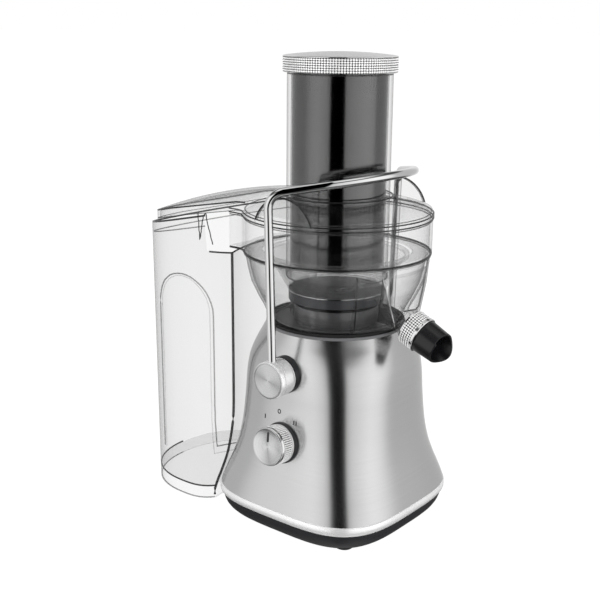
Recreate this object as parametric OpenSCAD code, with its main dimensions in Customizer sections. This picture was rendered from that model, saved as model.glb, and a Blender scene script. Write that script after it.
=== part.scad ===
// Centrifugal juicer with a pulp bin, a locking arm and a wide feed tube.
// Millimetres, +Z up. The origin is on the table, under the motor's axis.
// The control knob faces -Y, the spout faces +X and the pulp bin stands on -X.

/* [Base] */
// Height of the rubber feet under the base
foot_h = 3; // [2:0.5:5]
// Half width of the base at its top edge
base_half = 90; // [86:0.5:91]
// Height of the dark base above the feet
base_h = 19.5; // [16:0.5:24]
// Height of the bright trim band
trim_h = 8.5; // [6:0.5:11]
// Wall of the moulded base
base_wall = 2.5; // [2:0.1:3.5]

/* [Steel body] */
// Half width of the steel body at its foot
body_half = 91.5; // [88:0.5:94]
// Half width of the steel body at its waist
waist_half = 74; // [72:0.5:77]
// Height of the steel body above the trim
body_h = 155; // [150:1:165]
// Radius of the round neck on top of the steel body
neck_r = 63.6; // [61:0.1:66]
// Thickness of the steel sheet
steel_t = 1.2; // [0.8:0.1:2]

/* [Motor] */
// Outer radius of the motor can
motor_r = 44; // [38:0.5:48]
// Length of the motor can
motor_len = 98; // [80:1:104]
// Radius of the motor shaft
shaft_r = 4; // [3:0.25:5]
// Radius of the armature
rotor_r = 26; // [20:0.5:28]
// Radial clearance of shafts that turn in a bore
run_gap = 0.05; // [0.02:0.01:0.09]

/* [Bowls] */
// Height of the juice bowl, from its floor to its rim
bowl_h = 61; // [58:1:66]
// Outer radius of the juice bowl's rim
bowl_rim_r = 84; // [82:0.5:87]
// Wall of the clear bowls
bowl_wall = 2.4; // [1.8:0.1:3]
// Height of the pulp ring above the juice bowl
ring_h = 32; // [28:1:36]
// Half width of the pulp chute
chute_half = 56; // [50:0.5:58]
// Distance from the axis to the end of the pulp chute
chute_reach = 80; // [78:0.5:82]

/* [Basket] */
// Radius of the grating disc
disc_r = 43.5; // [40:0.5:45]
// Radius of the sieve at its upper edge
sieve_top_r = 62; // [58:0.5:63]
// Height of the sieve cone
sieve_h = 31; // [28:0.5:32]
// Teeth along the outermost row of the grating disc
teeth_count = 30; // [18:2:36]

/* [Lid and feed tube] */
// Outer diameter of the feed tube
tube_d = 92; // [84:1:94]
// Wall of the feed tube
tube_wall = 3.5; // [2.5:0.25:4.5]
// Height of the feed tube above the lid's flange
tube_h = 124; // [100:1:130]
// Wall of the lid
lid_wall = 2.4; // [1.8:0.1:3]
// Radial gap between the feed tube and the pusher
pusher_gap = 1; // [0.5:0.1:2]

/* [Pulp bin] */
// Height of the bin at the end that is further from the body
bin_h = 260; // [245:1:265]
// Half width of the bin
bin_half = 74; // [70:0.5:78]
// Distance from the axis to the far end of the bin
bin_reach = 200; // [190:1:215]
// Wall of the bin
bin_wall = 2.2; // [1.8:0.1:3]

/* [Locking arm] */
// Diameter of the arm's rod
rod_d = 7.5; // [6:0.25:9]
// Height of the arm's pivot above the table
pivot_z = 153; // [150:0.5:156]
// Radius of the round hubs on the arm's ends
hub_r = 16.6; // [15:0.1:18]
// How far the arm's bow stands out from the tube's axis
bow_reach = 64; // [60:0.5:68]
// Upward slope of the bow, in degrees
bow_tilt = 10.8; // [8:0.1:12]

/* [Knob] */
// Radius of the control knob
knob_r = 17.4; // [15:0.1:19]
// Height of the knob's centre above the table
knob_z = 92.3; // [88:0.1:96]
// Tilt of the knob's axis, in degrees
knob_tilt = 6; // [3:0.5:8]

/* [Spout] */
// Slope of the spout below the horizontal, in degrees
spout_slope = 24; // [20:1:28]
// Inner radius of the spout's tube on the bowl
spout_bore_r = 8.5; // [6.5:0.1:9]
// Length of the turning nozzle beyond its ring
nozzle_len = 26; // [22:0.5:28]

/* [Hidden] */
$fn = 64;
eps = 0.01;
round_n = 48;                 // points around one ring of a lofted shell
base_z = foot_h;              // underside of the base
trim_z = base_z + base_h;     // underside of the trim band
body_z = trim_z + trim_h;     // underside of the steel body
neck_z = body_z + body_h;     // top of the steel body
deck_t = 2.5;                 // thickness of the deck on the neck
seal_t = 2.5;                 // thickness of the seal under the juice bowl
deck_z = neck_z + deck_t;
bowl_z = deck_z + seal_t;     // underside of the juice bowl
ring_z = bowl_z + bowl_h;     // underside of the pulp ring
flange_z = ring_z + ring_h + 0.3;   // underside of the lid's flange
seat_gap = 0.3;               // gap between parts that only rest on each other

boss_r = 38;                  // boss of the deck under the bowl
boss_h = 15;                  // height of that boss above the deck
boss_wall = 2.5;
seal_hole_r = 9;              // hole for the shaft's seal
chimney_r = boss_r + 1.5;     // inside of the bowl's chimney
hub_z = deck_z + boss_h + 4.5;      // underside of the basket's hub
disc_z = hub_z + 9.5;         // underside of the grating disc
disc_t = 2;
sieve_t = 0.9;
rim_w = 3;                    // width of the sieve's upper rim

bearing_r = 11;
bearing_h = 7;
can_wall = 3;
bracket_t = 3;
damper_h = 21;                // rubber dampers, by which the motor hangs from the neck
motor_z = neck_z - damper_h - bracket_t - bearing_h + 1 - motor_len;   // underside of the motor can

tube_r = tube_d / 2;
tube_top = flange_z + tube_h;
tube_low = disc_z + 11.5;     // lower end of the feed throat
pusher_r = tube_r - tube_wall - pusher_gap;
pusher_low = tube_low + 12;
cap_r = tube_r + 4;
cap_z = tube_top + 0.5;
cap_h = 14.4;

dome_r = 282;                 // radius of the lid's dome
dome_top = flange_z + 20.6;   // height of the dome's peak
wing_r = 377;                 // radius of the wing's roof
wing_top = flange_z + 16.7;
wing_x = -50;                 // the wing's roof is highest here
wing_edge = 9;                // depth of the wing's rim

bin_mid = -130;               // where the bin is widest
bin_slant = 0.217;            // rise of the bin's rim towards the body
bin_notch_x = -93;            // the bin's wall is low between here and the body
bin_floor = 13.5;

hub_face = 95.3;              // distance of a hub's face from the middle
hub_back = 76.5;
hub_bore_r = 6;
hub_bore_end = 90;
bezel_gap = 0.2;              // gap between a bezel and its hole in the steel
plunger_off = 10;             // plunger's distance from the pivot's axis
plunger_r = 2.5;
rod_r = rod_d / 2;
leg_foot_y = 88.9;            // the leg's centre line at the pivot
leg_top_y = 95;               // the leg's centre line at the bow
bow_z = pivot_z + 161.5;
bow_turn = 41.3;              // heading of the bow's straight ends
corner_r = 14;                // bend between a leg and the bow

knob_face_y = 96;
knob_len = 17.2;
knob_shaft_r = 3;
dial_r = 20.5;

spout_x = 80.5;               // where the spout's axis meets the back of its nut
spout_z = bowl_z + 5.8;
boss_out_r = spout_bore_r + 3;
boss_end = 12;                // the bowl's boss ends here, measured from the nut's back
nut_r = 16.5;
nut_len = 15.5;
flange_r = boss_out_r - 0.3;  // flange that the nut holds the nozzle by
nozzle_neck_r = flange_r - 1.2;
lip_turn = 55;                // the nozzle's long lip is turned this far from straight down
lip_slope = 21;               // slope of the nozzle's mouth

// ---- shapes that repeat ----

// Points of a rounded square: half is its half width, n its squareness.
function squircle(half, n, z) = [
    for (i = [0 : round_n - 1])
        let (t = 360 * i / round_n, c = cos(t), s = sin(t))
            [half * sign(c) * pow(abs(c), 2 / n), half * sign(s) * pow(abs(s), 2 / n), z]
];

function flat(rings) = [for (ring = rings) each ring];

// Triangles between two neighbouring rings, ring a below or outside ring b.
function band(a, b, n) = [
    for (i = [0 : n - 1])
        let (j = (i + 1) % n)
            each [[a * n + i, b * n + i, b * n + j], [a * n + i, b * n + j, a * n + j]]
];

// A solid through a list of rings, closed by a cap at each end.
module loft_capped(rings) {
    n = len(rings[0]);
    m = len(rings);
    first_cap = [for (i = [0 : n - 1]) i];
    last_cap = [for (i = [0 : n - 1]) (m - 1) * n + n - 1 - i];
    sides = [for (k = [0 : m - 2]) each band(k, k + 1, n)];
    polyhedron(flat(rings), concat([first_cap, last_cap], sides), convexity = 8);
}

// A tube-like solid whose last ring joins its first.
module loft_looped(rings) {
    n = len(rings[0]);
    m = len(rings);
    sides = [for (k = [0 : m - 1]) each band(k, (k + 1) % m, n)];
    polyhedron(flat(rings), sides, convexity = 8);
}

module ring(r_out, r_in, h) {
    difference() {
        cylinder(r = r_out, h = h);
        translate([0, 0, -1]) cylinder(r = r_in, h = h + 2);
    }
}

module around(count, r, start = 0) {
    for (i = [0 : count - 1])
        rotate([0, 0, start + 360 * i / count]) translate([r, 0, 0]) children();
}

// ---- base ----

foot_off = 56;
screw_off = 62;

// Four corner feet and a fifth one under the motor.
module foot_places() {
    around(4, foot_off * sqrt(2), 45) children();
    children();
}

module base_plate() {
    outer = [
        squircle(base_half - 14, 3.5, base_z), squircle(base_half - 9, 3.5, base_z + 2.5),
        squircle(base_half - 4, 3.5, base_z + 7), squircle(base_half - 1, 3.5, base_z + 13),
        squircle(base_half, 3.5, trim_z)
    ];
    inner = [
        squircle(base_half - base_wall, 3.5, trim_z),
        squircle(base_half - 4 - base_wall, 3.5, base_z + 7),
        squircle(base_half - 12 - base_wall, 3.5, base_z + base_wall)
    ];
    color("#2b2c2e") difference() {
        loft_capped(concat(outer, inner));
        foot_places() translate([0, 0, base_z - 1]) cylinder(r = 9.3, h = 2);
        around(4, screw_off) translate([0, 0, base_z - 1]) cylinder(r = 2.2, h = 6);
    }
}

module rubber_feet() {
    color("#1a1a1b") foot_places() {
        cylinder(r1 = 8, r2 = 9, h = foot_h);
        translate([0, 0, foot_h]) cylinder(r = 9, h = 1);
    }
}

module base_screws() {
    color("silver") around(4, screw_off) {
        translate([0, 0, base_z - 2]) cylinder(r = 4, h = 2);
        translate([0, 0, base_z]) cylinder(r = 1.8, h = 12);
    }
}

module chrome_trim() {
    outer = [
        squircle(base_half + 0.8, 3.5, trim_z), squircle(body_half + 0.8, 3.5, trim_z + 2),
        squircle(body_half + 0.9, 3.5, body_z - 2), squircle(body_half + 0.2, 3.5, body_z)
    ];
    inner = [
        squircle(body_half - 4, 3.5, body_z), squircle(body_half - 4, 3.5, trim_z)
    ];
    color("#d8dadb") loft_looped(concat(outer, inner));
}

// ---- steel body ----

// Half width and squareness of the body at the height z, as [half, n].
// It flares below the waist and rounds off into the neck above it.
flare = body_half - waist_half;
draw_in = waist_half - neck_r;
body_stations = [
    // share of the height, share of the flare, share of the neck's draw-in, squareness
    [0, 1, 0, 3.5], [0.045, 0.89, 0, 3.45], [0.097, 0.735, 0, 3.4], [0.168, 0.525, 0, 3.3],
    [0.265, 0.285, 0, 3.2], [0.394, 0.115, 0, 3.05], [0.574, 0.012, 0, 2.9],
    [0.703, 0, 0.04, 2.8], [0.794, 0, 0.135, 2.65], [0.852, 0, 0.3, 2.5],
    [0.91, 0, 0.54, 2.3], [0.961, 0, 0.79, 2.1], [1, 0, 1, 2]
];
function body_ring(s, inset) =
    squircle(waist_half + flare * s[1] - draw_in * s[2] - inset, s[3], body_z + body_h * s[0]);

module hub_side(side) {
    // Z runs outwards along the pivot's axis; the front is -1 and the rear is 1.
    translate([0, 0, pivot_z]) rotate([-90 * side, 0, 0]) children();
}

module knob_place() {
    // The origin is the centre of the knob's face and Z points out of the body.
    translate([0, -knob_face_y, knob_z]) rotate([90 - knob_tilt, 0, 0]) children();
}

gland_z = body_z + 20;

module steel_body() {
    last = len(body_stations) - 1;
    outer = [for (k = [0 : last]) body_ring(body_stations[k], 0)];
    inner = [for (k = [0 : last]) body_ring(body_stations[last - k], steel_t)];
    color("#b9bbbd") difference() {
        loft_looped(concat(outer, inner));
        for (side = [-1, 1])
            hub_side(side) translate([0, 0, 50]) cylinder(r = hub_r + bezel_gap, h = 50);
        knob_place() translate([0, 0, -40]) cylinder(r = dial_r + bezel_gap, h = 45);
        translate([0, 60, gland_z]) rotate([-90, 0, 0]) cylinder(r = 8.2, h = 50);
    }
}

module top_deck() {
    color("#3a3b3d") union() {
        translate([0, 0, neck_z]) ring(neck_r, seal_hole_r, deck_t);
        translate([0, 0, neck_z - 8]) ring(neck_r - steel_t - 0.7, neck_r - steel_t - 3.2, 8);
        translate([0, 0, deck_z]) ring(boss_r, boss_r - boss_wall, boss_h);
        translate([0, 0, deck_z + boss_h - boss_wall]) ring(boss_r, seal_hole_r, boss_wall);
    }
}

// ---- motor ----

module motor_can() {
    top = motor_z + motor_len;
    color("#8d9093") difference() {
        union() {
            translate([0, 0, motor_z]) cylinder(r = motor_r, h = motor_len);
            translate([0, 0, motor_z - bearing_h + 1]) cylinder(r = bearing_r + 3, h = bearing_h);
            translate([0, 0, top - 1]) cylinder(r = bearing_r + 3, h = bearing_h);
        }
        translate([0, 0, motor_z + can_wall]) cylinder(r = motor_r - can_wall, h = motor_len - 2 * can_wall);
        translate([0, 0, motor_z - 20]) cylinder(r = bearing_r, h = motor_len + 40);
        around(3, 30) translate([0, 0, top - can_wall - 1]) cylinder(r = 2.2, h = can_wall + 2);
    }
}

module stator_core() {
    color("#5d4a3a") translate([0, 0, motor_z + 20])
        ring(motor_r - can_wall - 0.2, rotor_r + 1, motor_len - 46);
}

module armature() {
    color("#7a5536") translate([0, 0, motor_z + 22]) ring(rotor_r, shaft_r, motor_len - 50);
}

shaft_low = motor_z - 20;
shaft_top = hub_z + 4;

module motor_shaft() {
    color("#c9cbcd") translate([0, 0, shaft_low]) cylinder(r = shaft_r, h = shaft_top - shaft_low);
}

module commutator() {
    color("#b87333") translate([0, 0, motor_z + 6]) ring(12, shaft_r, 10);
}

module carbon_brushes() {
    color("#2a2a2a") for (side = [0, 180])
        rotate([0, 0, side]) translate([12.4, -3, motor_z + 8]) cube([17, 6, 6]);
}

module bearing() {
    // The bore runs on the shaft and the outer race is seated in the can.
    ring(bearing_r - 0.02, shaft_r + run_gap, bearing_h);
}

module lower_bearing() {
    color("#d0d2d4") translate([0, 0, motor_z - bearing_h + 1]) bearing();
}

module upper_bearing() {
    color("#d0d2d4") translate([0, 0, motor_z + motor_len - 1]) bearing();
}

module cooling_fan() {
    fan_z = shaft_low + 2;
    color("#303236") translate([0, 0, fan_z]) {
        difference() {
            union() {
                cylinder(r = 9, h = 10);
                cylinder(r = 36, h = 1.5);
                for (i = [0 : 8])
                    rotate([0, 0, 40 * i]) translate([8, -0.8, 1]) cube([27, 1.6, 8]);
            }
            translate([0, 0, -1]) cylinder(r = shaft_r, h = 12);
        }
    }
}

bracket_z = motor_z + motor_len + bearing_h - 1;
damper_r = 48;

module motor_bracket() {
    color("#9a9da0") difference() {
        translate([0, 0, bracket_z]) union() {
            cylinder(r = 36, h = bracket_t);
            around(3, damper_r, 60) cylinder(r = 9, h = bracket_t);
            around(3, damper_r / 2, 60) translate([-damper_r / 2, -9, 0]) cube([damper_r, 18, bracket_t]);
            around(3, 30) translate([0, 0, 1 - bearing_h]) cylinder(r = 4, h = bearing_h);
        }
        translate([0, 0, bracket_z - 1]) cylinder(r = shaft_r + 2, h = bracket_t + 2);
        around(3, 30) translate([0, 0, bracket_z - 10]) cylinder(r = 2.2, h = 20);
        around(3, damper_r, 60) translate([0, 0, bracket_z - 1]) cylinder(r = 2.2, h = bracket_t + 2);
    }
}

module bracket_screws() {
    color("silver") around(3, 30) {
        translate([0, 0, bracket_z + bracket_t]) cylinder(r = 4, h = 2.4);
        translate([0, 0, bracket_z - bearing_h - 3]) cylinder(r = 2, h = bearing_h + bracket_t + 3);
    }
}

module rubber_dampers() {
    low = bracket_z + bracket_t;
    color("#1c1c1d") around(3, damper_r, 60) translate([0, 0, low]) ring(7, 2.2, neck_z - low);
}

module shaft_seal() {
    color("#151515") translate([0, 0, deck_z + boss_h - boss_wall])
        ring(seal_hole_r, shaft_r + 0.3, boss_wall);
}

// Six-sided dog that carries the basket's hub.
dog_r = 9;
dog_z = deck_z + boss_h + 1;

module drive_coupling() {
    color("#26272a") difference() {
        translate([0, 0, dog_z]) cylinder(r = dog_r, h = hub_z + 6 - dog_z, $fn = 6);
        translate([0, 0, dog_z - 1]) cylinder(r = shaft_r, h = shaft_top - dog_z + 1);
    }
}

// ---- bowls ----

module bowl_seal() {
    color("#1b1b1c") translate([0, 0, deck_z]) ring(neck_r - 1.1, neck_r - 6.6, seal_t);
}

// Outline of the juice bowl, offset inwards by the wall w.
function bowl_outline(w) = [
    [0, bowl_z + w], [neck_r - 1.6 - w, bowl_z + w], [neck_r - 0.2 - w, bowl_z + 6],
    [neck_r + 3.1 - w, bowl_z + 13.5], [neck_r + 7.6 - w, bowl_z + 21.5],
    [bowl_rim_r - 6.5 - w, bowl_z + 35], [bowl_rim_r - 3.4 - w, bowl_z + 48],
    [bowl_rim_r - 1.7 - w, ring_z - 3], [bowl_rim_r - (w > 0 ? 1.7 + w : 0), ring_z - 2],
    [bowl_rim_r - (w > 0 ? 1.7 + w : 0), ring_z + (w > 0 ? 1 : 0)],
    [0, ring_z + (w > 0 ? 1 : 0)]
];

module spout_axis() {
    // X runs out of the bowl along the spout.
    translate([spout_x, 0, spout_z]) rotate([0, spout_slope, 0]) children();
}

fairing_turn = 42;            // half of the angle that the bowl's bulge covers

module bowl_bulge() {
    outer = [
        [bowl_rim_r - 1, ring_z - 6], [bowl_rim_r - 2.8, bowl_z + 35],
        [neck_r + 12.9, bowl_z + 8], [neck_r + 9.5, bowl_z + 4.5], [neck_r - 1.8, bowl_z + 3]
    ];
    rotate([0, 0, -fairing_turn]) rotate_extrude(angle = 2 * fairing_turn)
        polygon(concat(outer, [[neck_r - 1.8, bowl_z + 10], [bowl_rim_r - 5, ring_z - 14]]));
}

module bulge_hollow() {
    rotate([0, 0, -fairing_turn + 2]) rotate_extrude(angle = 2 * fairing_turn - 4)
        polygon([
            [bowl_rim_r - 2.4, ring_z - 9], [bowl_rim_r - 4.6, bowl_z + 35],
            [neck_r + 10.9, bowl_z + 9.5], [neck_r + 8.9, bowl_z + 6.5], [neck_r + 1.5, bowl_z + 6.5],
            [neck_r + 4.1, bowl_z + 13.5], [neck_r + 8.6, bowl_z + 21.5],
            [bowl_rim_r - 5.5, bowl_z + 35], [bowl_rim_r - 2.6, bowl_z + 47]
        ]);
}

module juice_bowl() {
    color("#dfe6ea", 0.4) difference() {
        union() {
            rotate_extrude() polygon(bowl_outline(0));
            bowl_bulge();
            spout_axis() rotate([0, 90, 0]) translate([0, 0, -9])
                cylinder(r = boss_out_r, h = boss_end + 9);
        }
        difference() {
            rotate_extrude() polygon(bowl_outline(bowl_wall));
            translate([0, 0, bowl_z - 1])
                cylinder(r = chimney_r + bowl_wall, h = hub_z - bowl_z - 0.5);
        }
        bulge_hollow();
        translate([0, 0, bowl_z - 1])
            cylinder(r = chimney_r, h = hub_z - bowl_z - 0.5 - bowl_wall);
        translate([0, 0, bowl_z - 1]) cylinder(r = dog_r + 5, h = 40);
        spout_axis() rotate([0, 90, 0]) translate([0, 0, -30]) cylinder(r = spout_bore_r, h = 60);
    }
}

// Plan of the ring with its pulp chute: a circle, a straight neck and two
// fillets of radius f between them. The outline is offset inwards by w.
neck_fillet = 20;

module ring_plan(r, w) {
    f = neck_fillet + w;
    half = chute_half - w;
    rr = r - w;
    cx = -sqrt(pow(rr + f, 2) - pow(half + f, 2));
    k = (rr - 0.5) / (rr + f);
    circle(r = rr, $fn = 96);
    translate([-chute_reach, -half]) square([chute_reach, 2 * half]);
    for (turned = [0, 1]) mirror([0, turned, 0]) difference() {
        polygon([[cx, half - 1], [k * cx + 3, half - 1], [k * cx, k * (half + f)], [cx, half + f]]);
        translate([cx, half + f + 0.05]) circle(r = f, $fn = 64);
    }
}

module pulp_ring() {
    color("#dfe6ea", 0.4) difference() {
        translate([0, 0, ring_z + eps]) linear_extrude(ring_h) ring_plan(bowl_rim_r + 0.8, 0);
        translate([0, 0, ring_z + bowl_wall]) linear_extrude(ring_h)
            ring_plan(bowl_rim_r + 0.8, bowl_wall);
        translate([-chute_reach - 20, -chute_half + bowl_wall, ring_z + bowl_wall])
            cube([39, 2 * (chute_half - bowl_wall), ring_h]);
        translate([0, 0, ring_z - 1]) cylinder(r = sieve_top_r + rim_w + 2.5, h = 10);
    }
}

// ---- basket ----

module basket_hub() {
    color("#4a4c4f") difference() {
        translate([0, 0, hub_z]) cylinder(r = disc_r, h = disc_z - hub_z);
        translate([0, 0, hub_z - 1]) cylinder(r = dog_r + 0.3, h = 7.3, $fn = 6);
        translate([0, 0, hub_z + 2]) difference() {
            cylinder(r = disc_r - 3, h = disc_z - hub_z - 4);
            cylinder(r = dog_r + 4, h = disc_z - hub_z);
        }
    }
}

tooth_rows = 4;

module grating_disc() {
    color("#c4c7ca") union() {
        translate([0, 0, disc_z]) cylinder(r = disc_r, h = disc_t);
        for (row = [1 : tooth_rows])
            around(round(teeth_count * row / tooth_rows), (disc_r - 4) * row / tooth_rows, 7 * row)
                translate([-0.8, -1.3, disc_z + disc_t / 2]) rotate([0, 0, 20]) cube([1.6, 2.6, disc_t / 2 + 1.2]);
    }
}

module sieve_cone() {
    color("#aeb2b5") translate([0, 0, disc_z + eps]) rotate_extrude($fn = 96)
        polygon([
            [disc_r + 0.1, 0], [disc_r + 0.1 + sieve_t, 0],
            [sieve_top_r, sieve_h], [sieve_top_r - sieve_t, sieve_h]
        ]);
}

module sieve_rim() {
    color("#8d9093") translate([0, 0, disc_z + sieve_h + 2 * eps])
        ring(sieve_top_r + rim_w, sieve_top_r - sieve_t, 3);
}

// ---- lid and tube ----

module wing_plan(w) {
    // The wing leaves the lid at the chute's width and ends round, inside the bin's rim.
    hull() {
        translate([-70, -chute_half - 2 + w]) square([10, 2 * (chute_half + 2 - w)]);
        translate([bin_mid, 0]) polygon([
            for (i = [0 : 47])
                let (t = 7.5 * i, c = cos(t), s = sin(t))
                    [(-bin_mid / 130 * (bin_reach - 133.5) - w) * sign(c) * pow(abs(c), 2 / 2.3),
                     (bin_half - 5 - w) * sign(s) * pow(abs(s), 2 / 2.3)]
        ]);
    }
}

module wing_ball(drop) {
    translate([wing_x, 0, wing_top - wing_r]) sphere(r = wing_r - drop, $fn = 128);
}

module dome_ball(drop) {
    translate([0, 0, dome_top - dome_r]) sphere(r = dome_r - drop, $fn = 128);
}

fin_r = 32.8;
fin_x = 7;
fin_top = flange_z + 26.7;
fin_t = 3.5;

module lid() {
    flange_h = 4.6;
    rim_r = bowl_rim_r + 1.7;
    color("#dfe6ea", 0.4) difference() {
        union() {
            translate([0, 0, flange_z]) linear_extrude(flange_h) ring_plan(rim_r, 0);
            intersection() {
                translate([0, 0, flange_z + 1]) cylinder(r = rim_r - 2, h = 40, $fn = 96);
                dome_ball(0);
            }
            intersection() {
                translate([0, 0, flange_z - 30]) linear_extrude(80) wing_plan(0);
                difference() {
                    wing_ball(0);
                    wing_ball(wing_edge);
                }
            }
            translate([0, 0, flange_z + 5]) cylinder(r = tube_r + 3, h = 14);
            for (side = [-1, 1]) intersection() {
                translate([fin_x, side * (rim_r - 2.5), fin_top - fin_r]) rotate([90, 0, 0])
                    translate([0, 0, -fin_t / 2]) cylinder(r = fin_r, h = fin_t, $fn = 96);
                translate([-60, -120, flange_z + 1]) cube([120, 240, 60]);
            }
        }
        // hollow under the dome and under the wing
        translate([0, 0, flange_z - 1]) linear_extrude(4) ring_plan(rim_r, lid_wall + 1);
        intersection() {
            translate([0, 0, flange_z]) cylinder(r = rim_r - 2 - lid_wall, h = 40, $fn = 96);
            dome_ball(lid_wall);
        }
        intersection() {
            translate([0, 0, flange_z - 40]) linear_extrude(80) wing_plan(lid_wall);
            wing_ball(lid_wall);
        }
        translate([0, 0, flange_z - 1]) cylinder(r = tube_r + 0.05, h = 60);
    }
}

module feed_tube() {
    color("#cfd6da", 0.4) translate([0, 0, tube_low]) ring(tube_r, tube_r - tube_wall, tube_top - tube_low);
}

// ---- pusher ----

module pusher_tube() {
    color("#4c4d50", 0.85) difference() {
        translate([0, 0, pusher_low]) cylinder(r = pusher_r, h = cap_z - pusher_low);
        translate([0, 0, pusher_low + 2.5]) cylinder(r = pusher_r - 2.5, h = cap_z - pusher_low);
    }
}

module pusher_cap_ring() {
    color("#d8dadb") translate([0, 0, cap_z]) difference() {
        cylinder(r = cap_r, h = cap_h);
        translate([0, 0, 2.5]) cylinder(r = cap_r - 3, h = cap_h);
    }
}

module pusher_cap_top() {
    color("#c9cbcc") translate([0, 0, cap_z + cap_h - 5]) {
        cylinder(r = cap_r - 3.1, h = 5);
        translate([0, 0, 5]) cylinder(r1 = cap_r - 3.1, r2 = cap_r - 22, h = 3);
    }
}

// ---- pulp bin ----

// Height and place of the corner where the bin's front meets its inner wall,
// and the depth of the hollow in that wall.
bin_stations = [
    [0, -97, 4], [15, -95.4, 4], [31, -88.5, 7], [52, -80, 8], [72, -75, 10],
    [92, -71.8, 12], [120, -71, 14], [290, -71, 14.3]
];

// One ring of the bin for a station, inset by w, at the height zz: round at its
// far end, squarer near the body, and cut off by the hollow inner wall.
function bin_ring(station, w, zz) =
    let (z = station[0], edge = station[1], half = bin_half + 1.5 * z / 290 - w,
         left = bin_reach + bin_mid + 2 * z / 290 - w, right = (edge - bin_mid) / 0.766 - w)
    [for (i = [0 : 55])
        let (t = 360 * i / 56, c = cos(t), s = sin(t), n = c < 0 ? 2.2 : 3,
             x = bin_mid + (c < 0 ? left : right) * sign(c) * pow(abs(c), 2 / n),
             y = half * sign(s) * pow(abs(s), 2 / n),
             wall = edge - w - station[2] * max(0, 1 - pow(y / 61, 2)))
        [min(x, wall), y, zz]];

module pulp_bin() {
    top = len(bin_stations) - 1;
    outer = [for (s = bin_stations) bin_ring(s, 0, s[0])];
    inner = [for (k = [0 : top - 1])
        let (s = bin_stations[top - k]) bin_ring(s, bin_wall, max(s[0], bin_floor))];
    color("#dfe6ea", 0.4) difference() {
        loft_capped(concat(
            [bin_ring(bin_stations[0], 3, bin_floor - 2.5), bin_ring(bin_stations[0], 3, 0)],
            outer, inner));
        // slanted rim, then the low wall under the chute
        translate([-93 - 140, -100, bin_h + 3 - 140 * bin_slant + 20]) rotate([0, -atan(bin_slant), 0])
            cube([200, 200, 80]);
        translate([bin_notch_x, -100, ring_z - 2]) cube([60, 200, 80]);
    }
}

// ---- locking arm ----

function unit(v) = v / norm(v);

bow_dir = [cos(bow_turn) * cos(bow_tilt), sin(bow_turn), cos(bow_turn) * sin(bow_tilt)];
leg_dir = unit([0, leg_foot_y - leg_top_y, bow_z - pivot_z]);
corner_angle = acos(leg_dir * bow_dir);
corner_cut = corner_r * tan(corner_angle / 2);
bow_r = (leg_top_y - bow_reach * tan(bow_turn))
        / (cos(bow_turn) - tan(bow_turn) * (1 - sin(bow_turn)));
bow_straight = (bow_reach - bow_r * (1 - sin(bow_turn))) / cos(bow_turn);

// Places children with X along a, Y along the part of b square to it, Z across both.
module along(origin, a, b) {
    x = unit(a);
    z = unit(cross(a, b));
    y = cross(z, x);
    multmatrix([[x[0], y[0], z[0], origin[0]], [x[1], y[1], z[1], origin[1]],
                [x[2], y[2], z[2], origin[2]], [0, 0, 0, 1]]) children();
}

// Centre line of the arm from the front leg's foot to the middle of the bow,
// as [point, direction] pairs.
leg_len = norm([0, leg_foot_y - leg_top_y, bow_z - pivot_z]);
leg_foot = [0, -leg_foot_y, pivot_z];
corner = [0, -leg_top_y, bow_z];
bend_side = unit(bow_dir - (bow_dir * leg_dir) * leg_dir);
bend_start = leg_foot + (leg_len - corner_cut) * leg_dir;
bow_across = [cos(bow_tilt), 0, sin(bow_tilt)];
bow_mid = [0, 0, bow_z] + (bow_reach - bow_r) * bow_across;
arm_path = concat(
    [[leg_foot + (hub_r - 2.5) * leg_dir, leg_dir]],
    [for (i = [0 : 7])
        let (t = corner_angle * i / 7)
            [bend_start + corner_r * (sin(t) * leg_dir + (1 - cos(t)) * bend_side),
             cos(t) * leg_dir + sin(t) * bend_side]],
    [for (i = [0 : 8])
        let (t = (90 - bow_turn) * (1 - i / 8))
            [bow_mid + bow_r * (cos(t) * bow_across - sin(t) * [0, 1, 0]),
             sin(t) * bow_across + cos(t) * [0, 1, 0]]]
);

// The other half mirrors the first one, and the middle is not repeated.
function mirrored(v) = [v[0], -v[1], v[2]];
arm_whole = concat(arm_path, [
    for (i = [len(arm_path) - 2 : -1 : 0]) [mirrored(arm_path[i][0]), -mirrored(arm_path[i][1])]
]);

// A side direction carried along the path, so that the rings do not twist.
function carried(path, i) =
    i == 0 ? [1, 0, 0] : let (d = path[i][1], v = carried(path, i - 1)) unit(v - (v * d) * d);

module lock_arm() {
    sides = 24;
    rings = [for (i = [0 : len(arm_whole) - 1])
        let (d = arm_whole[i][1], u = carried(arm_whole, i), v = cross(d, u))
            [for (k = [0 : sides - 1])
                arm_whole[i][0] + rod_r * (cos(360 * k / sides) * u + sin(360 * k / sides) * v)]];
    color("#d8dadb") loft_capped(rings);
}

module leg_socket() {
    // The room that a hub leaves for the foot of its leg.
    along([0, -leg_foot_y, pivot_z], leg_dir, bow_dir)
        translate([hub_r - 3, 0, 0]) rotate([0, 90, 0]) cylinder(r = rod_r, h = 20, $fn = 48);
}

module hub_blank() {
    translate([0, 0, hub_back]) difference() {
        cylinder(r = hub_r, h = hub_face - hub_back);
        translate([0, 0, -1]) cylinder(r = hub_bore_r, h = hub_bore_end - hub_back + 1);
    }
}

module front_hub() {
    // A ring groove in the back clears the plunger once the pad has passed it.
    color("#d0d2d3") difference() {
        hub_side(-1) union() {
            difference() {
                hub_blank();
                translate([0, 0, hub_back - 1]) ring(13.4, 6.9, 2.6);
            }
            translate([plunger_off, 0, hub_back]) cylinder(r = 1.2, h = 2);
        }
        leg_socket();
    }
}

module rear_hub() {
    color("#d0d2d3") difference() {
        hub_side(1) hub_blank();
        mirror([0, 1, 0]) leg_socket();
    }
}

bezel_back = 60;

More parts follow.
